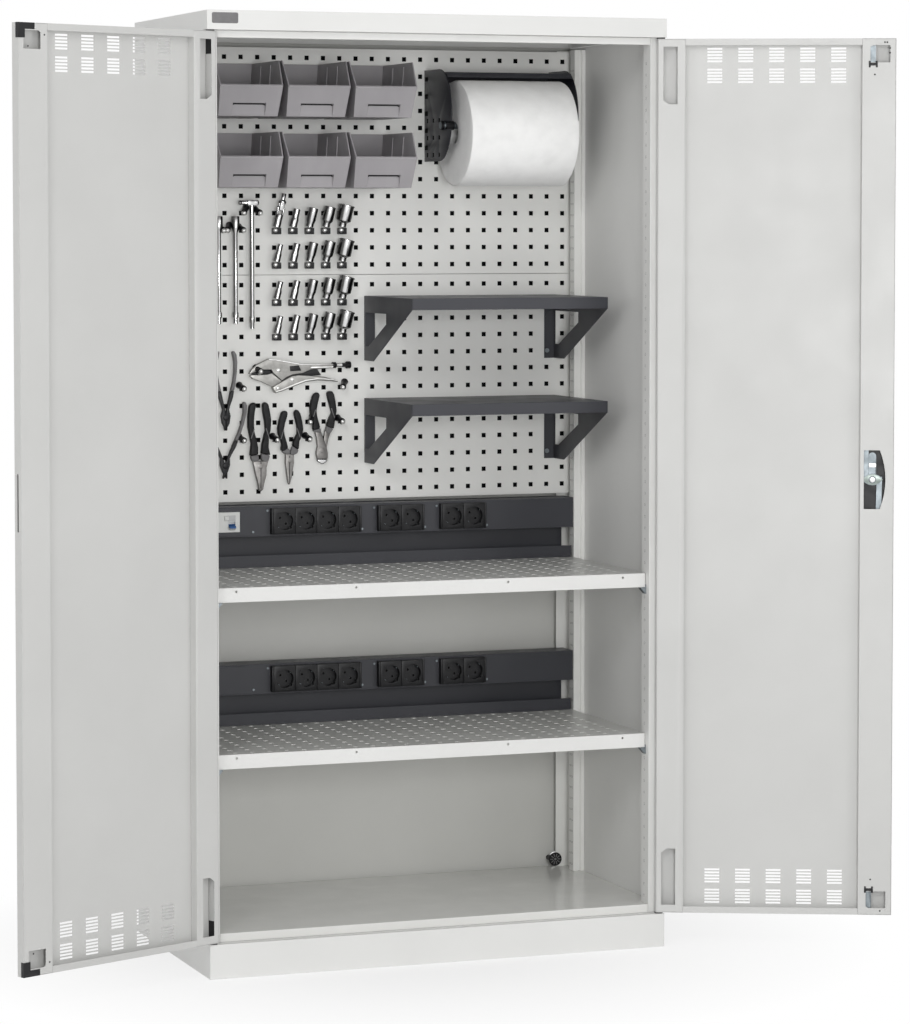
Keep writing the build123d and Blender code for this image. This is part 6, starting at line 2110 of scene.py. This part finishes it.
@dataclass
class Studio:
    """Pale floor, white surround, soft lamps and the camera at the photograph's view."""

    place: Point = (-2.679, -7.597, 1.577)
    yaw: float = 20.3
    pitch: float = 3.0
    lens: float = 130.6
    shift: float = -0.098
    middle: Point = (0, 0, 0.9)
    lamps: tuple[tuple[str, Point, float, float], ...] = (
        ("key_lamp", (-3.0, -4.0, 3.6), 1.3, 40), ("fill_lamp", (2.8, -4.6, 2.6), 1.8, 24),
        ("front_lamp", (-1.0, -6.4, 1.5), 1.4, 108), ("side_lamp", (-5.2, -1.8, 2.2), 2.0, 20),
    )
    glow_start: float = 0.35
    glow_end: float = 1.05
    least_glow: float = 0.62
    surround_grey: float = 0.46

    def build(self) -> None:
        """Build the floor, the surround, the lamps and the camera."""
        self.floor()
        self.surround()
        for name, place, size, power in self.lamps:
            self.lamp(name, place, size, power)
        self.camera()

    def floor(self) -> None:
        """Lay the pale floor, which glows whiter away from the cabinet."""
        deselect()
        bpy.ops.mesh.primitive_plane_add(size=60)
        plane = bpy.context.object
        plane.name = "studio_floor"
        material = bpy.data.materials.new("studio_floor_pale")
        material.use_nodes = True
        tree = material.node_tree
        shader = tree.nodes["Principled BSDF"]
        shader.inputs["Base Color"].default_value = linear((250, 250, 250))
        shader.inputs["Roughness"].default_value = 0.7
        glow = tree.nodes.new("ShaderNodeEmission")
        mix = tree.nodes.new("ShaderNodeMixShader")
        length = tree.nodes.new("ShaderNodeVectorMath")
        length.operation = "LENGTH"
        coords = tree.nodes.new("ShaderNodeTexCoord")
        far = tree.nodes.new("ShaderNodeMapRange")
        far.inputs["From Min"].default_value = self.glow_start
        far.inputs["From Max"].default_value = self.glow_end
        far.inputs["To Min"].default_value = self.least_glow
        path = tree.nodes.new("ShaderNodeLightPath")
        seen = tree.nodes.new("ShaderNodeMath")
        seen.operation = "MAXIMUM"
        share = tree.nodes.new("ShaderNodeMath")
        share.operation = "MULTIPLY"
        tree.links.new(path.outputs["Is Camera Ray"], seen.inputs[0])
        tree.links.new(path.outputs["Is Glossy Ray"], seen.inputs[1])
        tree.links.new(far.outputs["Result"], share.inputs[0])
        tree.links.new(seen.outputs[0], share.inputs[1])
        tree.links.new(coords.outputs["Object"], length.inputs[0])
        tree.links.new(length.outputs["Value"], far.inputs["Value"])
        tree.links.new(share.outputs[0], mix.inputs[0])
        tree.links.new(shader.outputs[0], mix.inputs[1])
        tree.links.new(glow.outputs[0], mix.inputs[2])
        tree.links.new(mix.outputs[0], tree.nodes["Material Output"].inputs["Surface"])
        plane.data.materials.append(material)

    def surround(self) -> None:
        """Make the world white to the camera and in reflections, and a plain grey light elsewhere."""
        world = bpy.data.worlds.new("studio_surround")
        bpy.context.scene.world = world
        world.use_nodes = True
        tree = world.node_tree
        tree.nodes.clear()
        output = tree.nodes.new("ShaderNodeOutputWorld")
        light = tree.nodes.new("ShaderNodeBackground")
        light.inputs["Color"].default_value = (*[self.surround_grey] * 3, 1)
        seen = tree.nodes.new("ShaderNodeBackground")
        seen.inputs["Color"].default_value = (1, 1, 1, 1)
        path = tree.nodes.new("ShaderNodeLightPath")
        mix = tree.nodes.new("ShaderNodeMixShader")
        either = tree.nodes.new("ShaderNodeMath")
        either.operation = "MAXIMUM"
        both = tree.nodes.new("ShaderNodeMath")
        both.operation = "MAXIMUM"
        tree.links.new(path.outputs["Is Camera Ray"], either.inputs[0])
        tree.links.new(path.outputs["Is Glossy Ray"], either.inputs[1])
        tree.links.new(either.outputs[0], both.inputs[0])
        tree.links.new(path.outputs["Is Transmission Ray"], both.inputs[1])
        tree.links.new(both.outputs[0], mix.inputs[0])
        tree.links.new(light.outputs[0], mix.inputs[1])
        tree.links.new(seen.outputs[0], mix.inputs[2])
        tree.links.new(mix.outputs[0], output.inputs["Surface"])

    def lamp(self, name: str, place: Point, size: float, power: float) -> None:
        """Hang one soft square lamp that faces the cabinet's middle.

        Args:
            name: The lamp's name.
            place: Its place in metres.
            size: Length of its side in metres.
            power: Its power in watts.
        """
        deselect()
        turn = (Vector(self.middle) - Vector(place)).to_track_quat("-Z", "Y").to_euler()
        bpy.ops.object.light_add(type="AREA", location=place, rotation=turn)
        lamp = bpy.context.object
        lamp.name = name
        lamp.data.shape = "SQUARE"
        lamp.data.size = size
        lamp.data.energy = power

    def camera(self) -> None:
        """Set up the camera at the photograph's viewing angle."""
        deselect()
        turn = (math.radians(90 - self.pitch), 0, math.radians(-self.yaw))
        bpy.ops.object.camera_add(location=self.place, rotation=turn)
        camera = bpy.context.object
        camera.name = "photo_camera"
        camera.data.lens = self.lens
        camera.data.shift_y = self.shift
        bpy.context.scene.camera = camera


@dataclass
class NodeFinishes:
    """Finishes of the CAD nodes that stay on show."""

    nodes: dict[str, Piece]

    def dress(self) -> None:
        """Give every node its finish."""
        for finish, names in NODE_FINISHES.items():
            for name in names:
                node = self.nodes[name]
                if not node.material_slots:
                    node.data.materials.append(None)
                for slot in node.material_slots:
                    slot.material = made(finish)
                LOG.info("node %s: %s", name, finish.name)


def main() -> None:
    """Load the frame, build every sub-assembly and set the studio."""
    logging.basicConfig(level=logging.INFO, format="%(message)s")
    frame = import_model()
    NodeFinishes(frame["nodes"]).dress()
    SoftEdges(frame["nodes"]).build()
    assemblies = (
        BackWall(), ShelfDecks(), PostHoles(), OutletStrip(), StripTrim(), ToolPegs(), SocketSet(),
        DriveBars(), LockingPliers(), HangingPliers(), PaperRoll(), BinRibs(), LatchWorks(), SheetMarks(),
        GlandFace(), BlankBadge(),
    )
    for assembly in assemblies:
        LOG.info("building %s", type(assembly).__name__)
        assembly.build()
    Studio().build()
    scene = bpy.context.scene
    scene.view_settings.view_transform = "Standard"
    deselect()


if __name__ == "__main__":
    main()
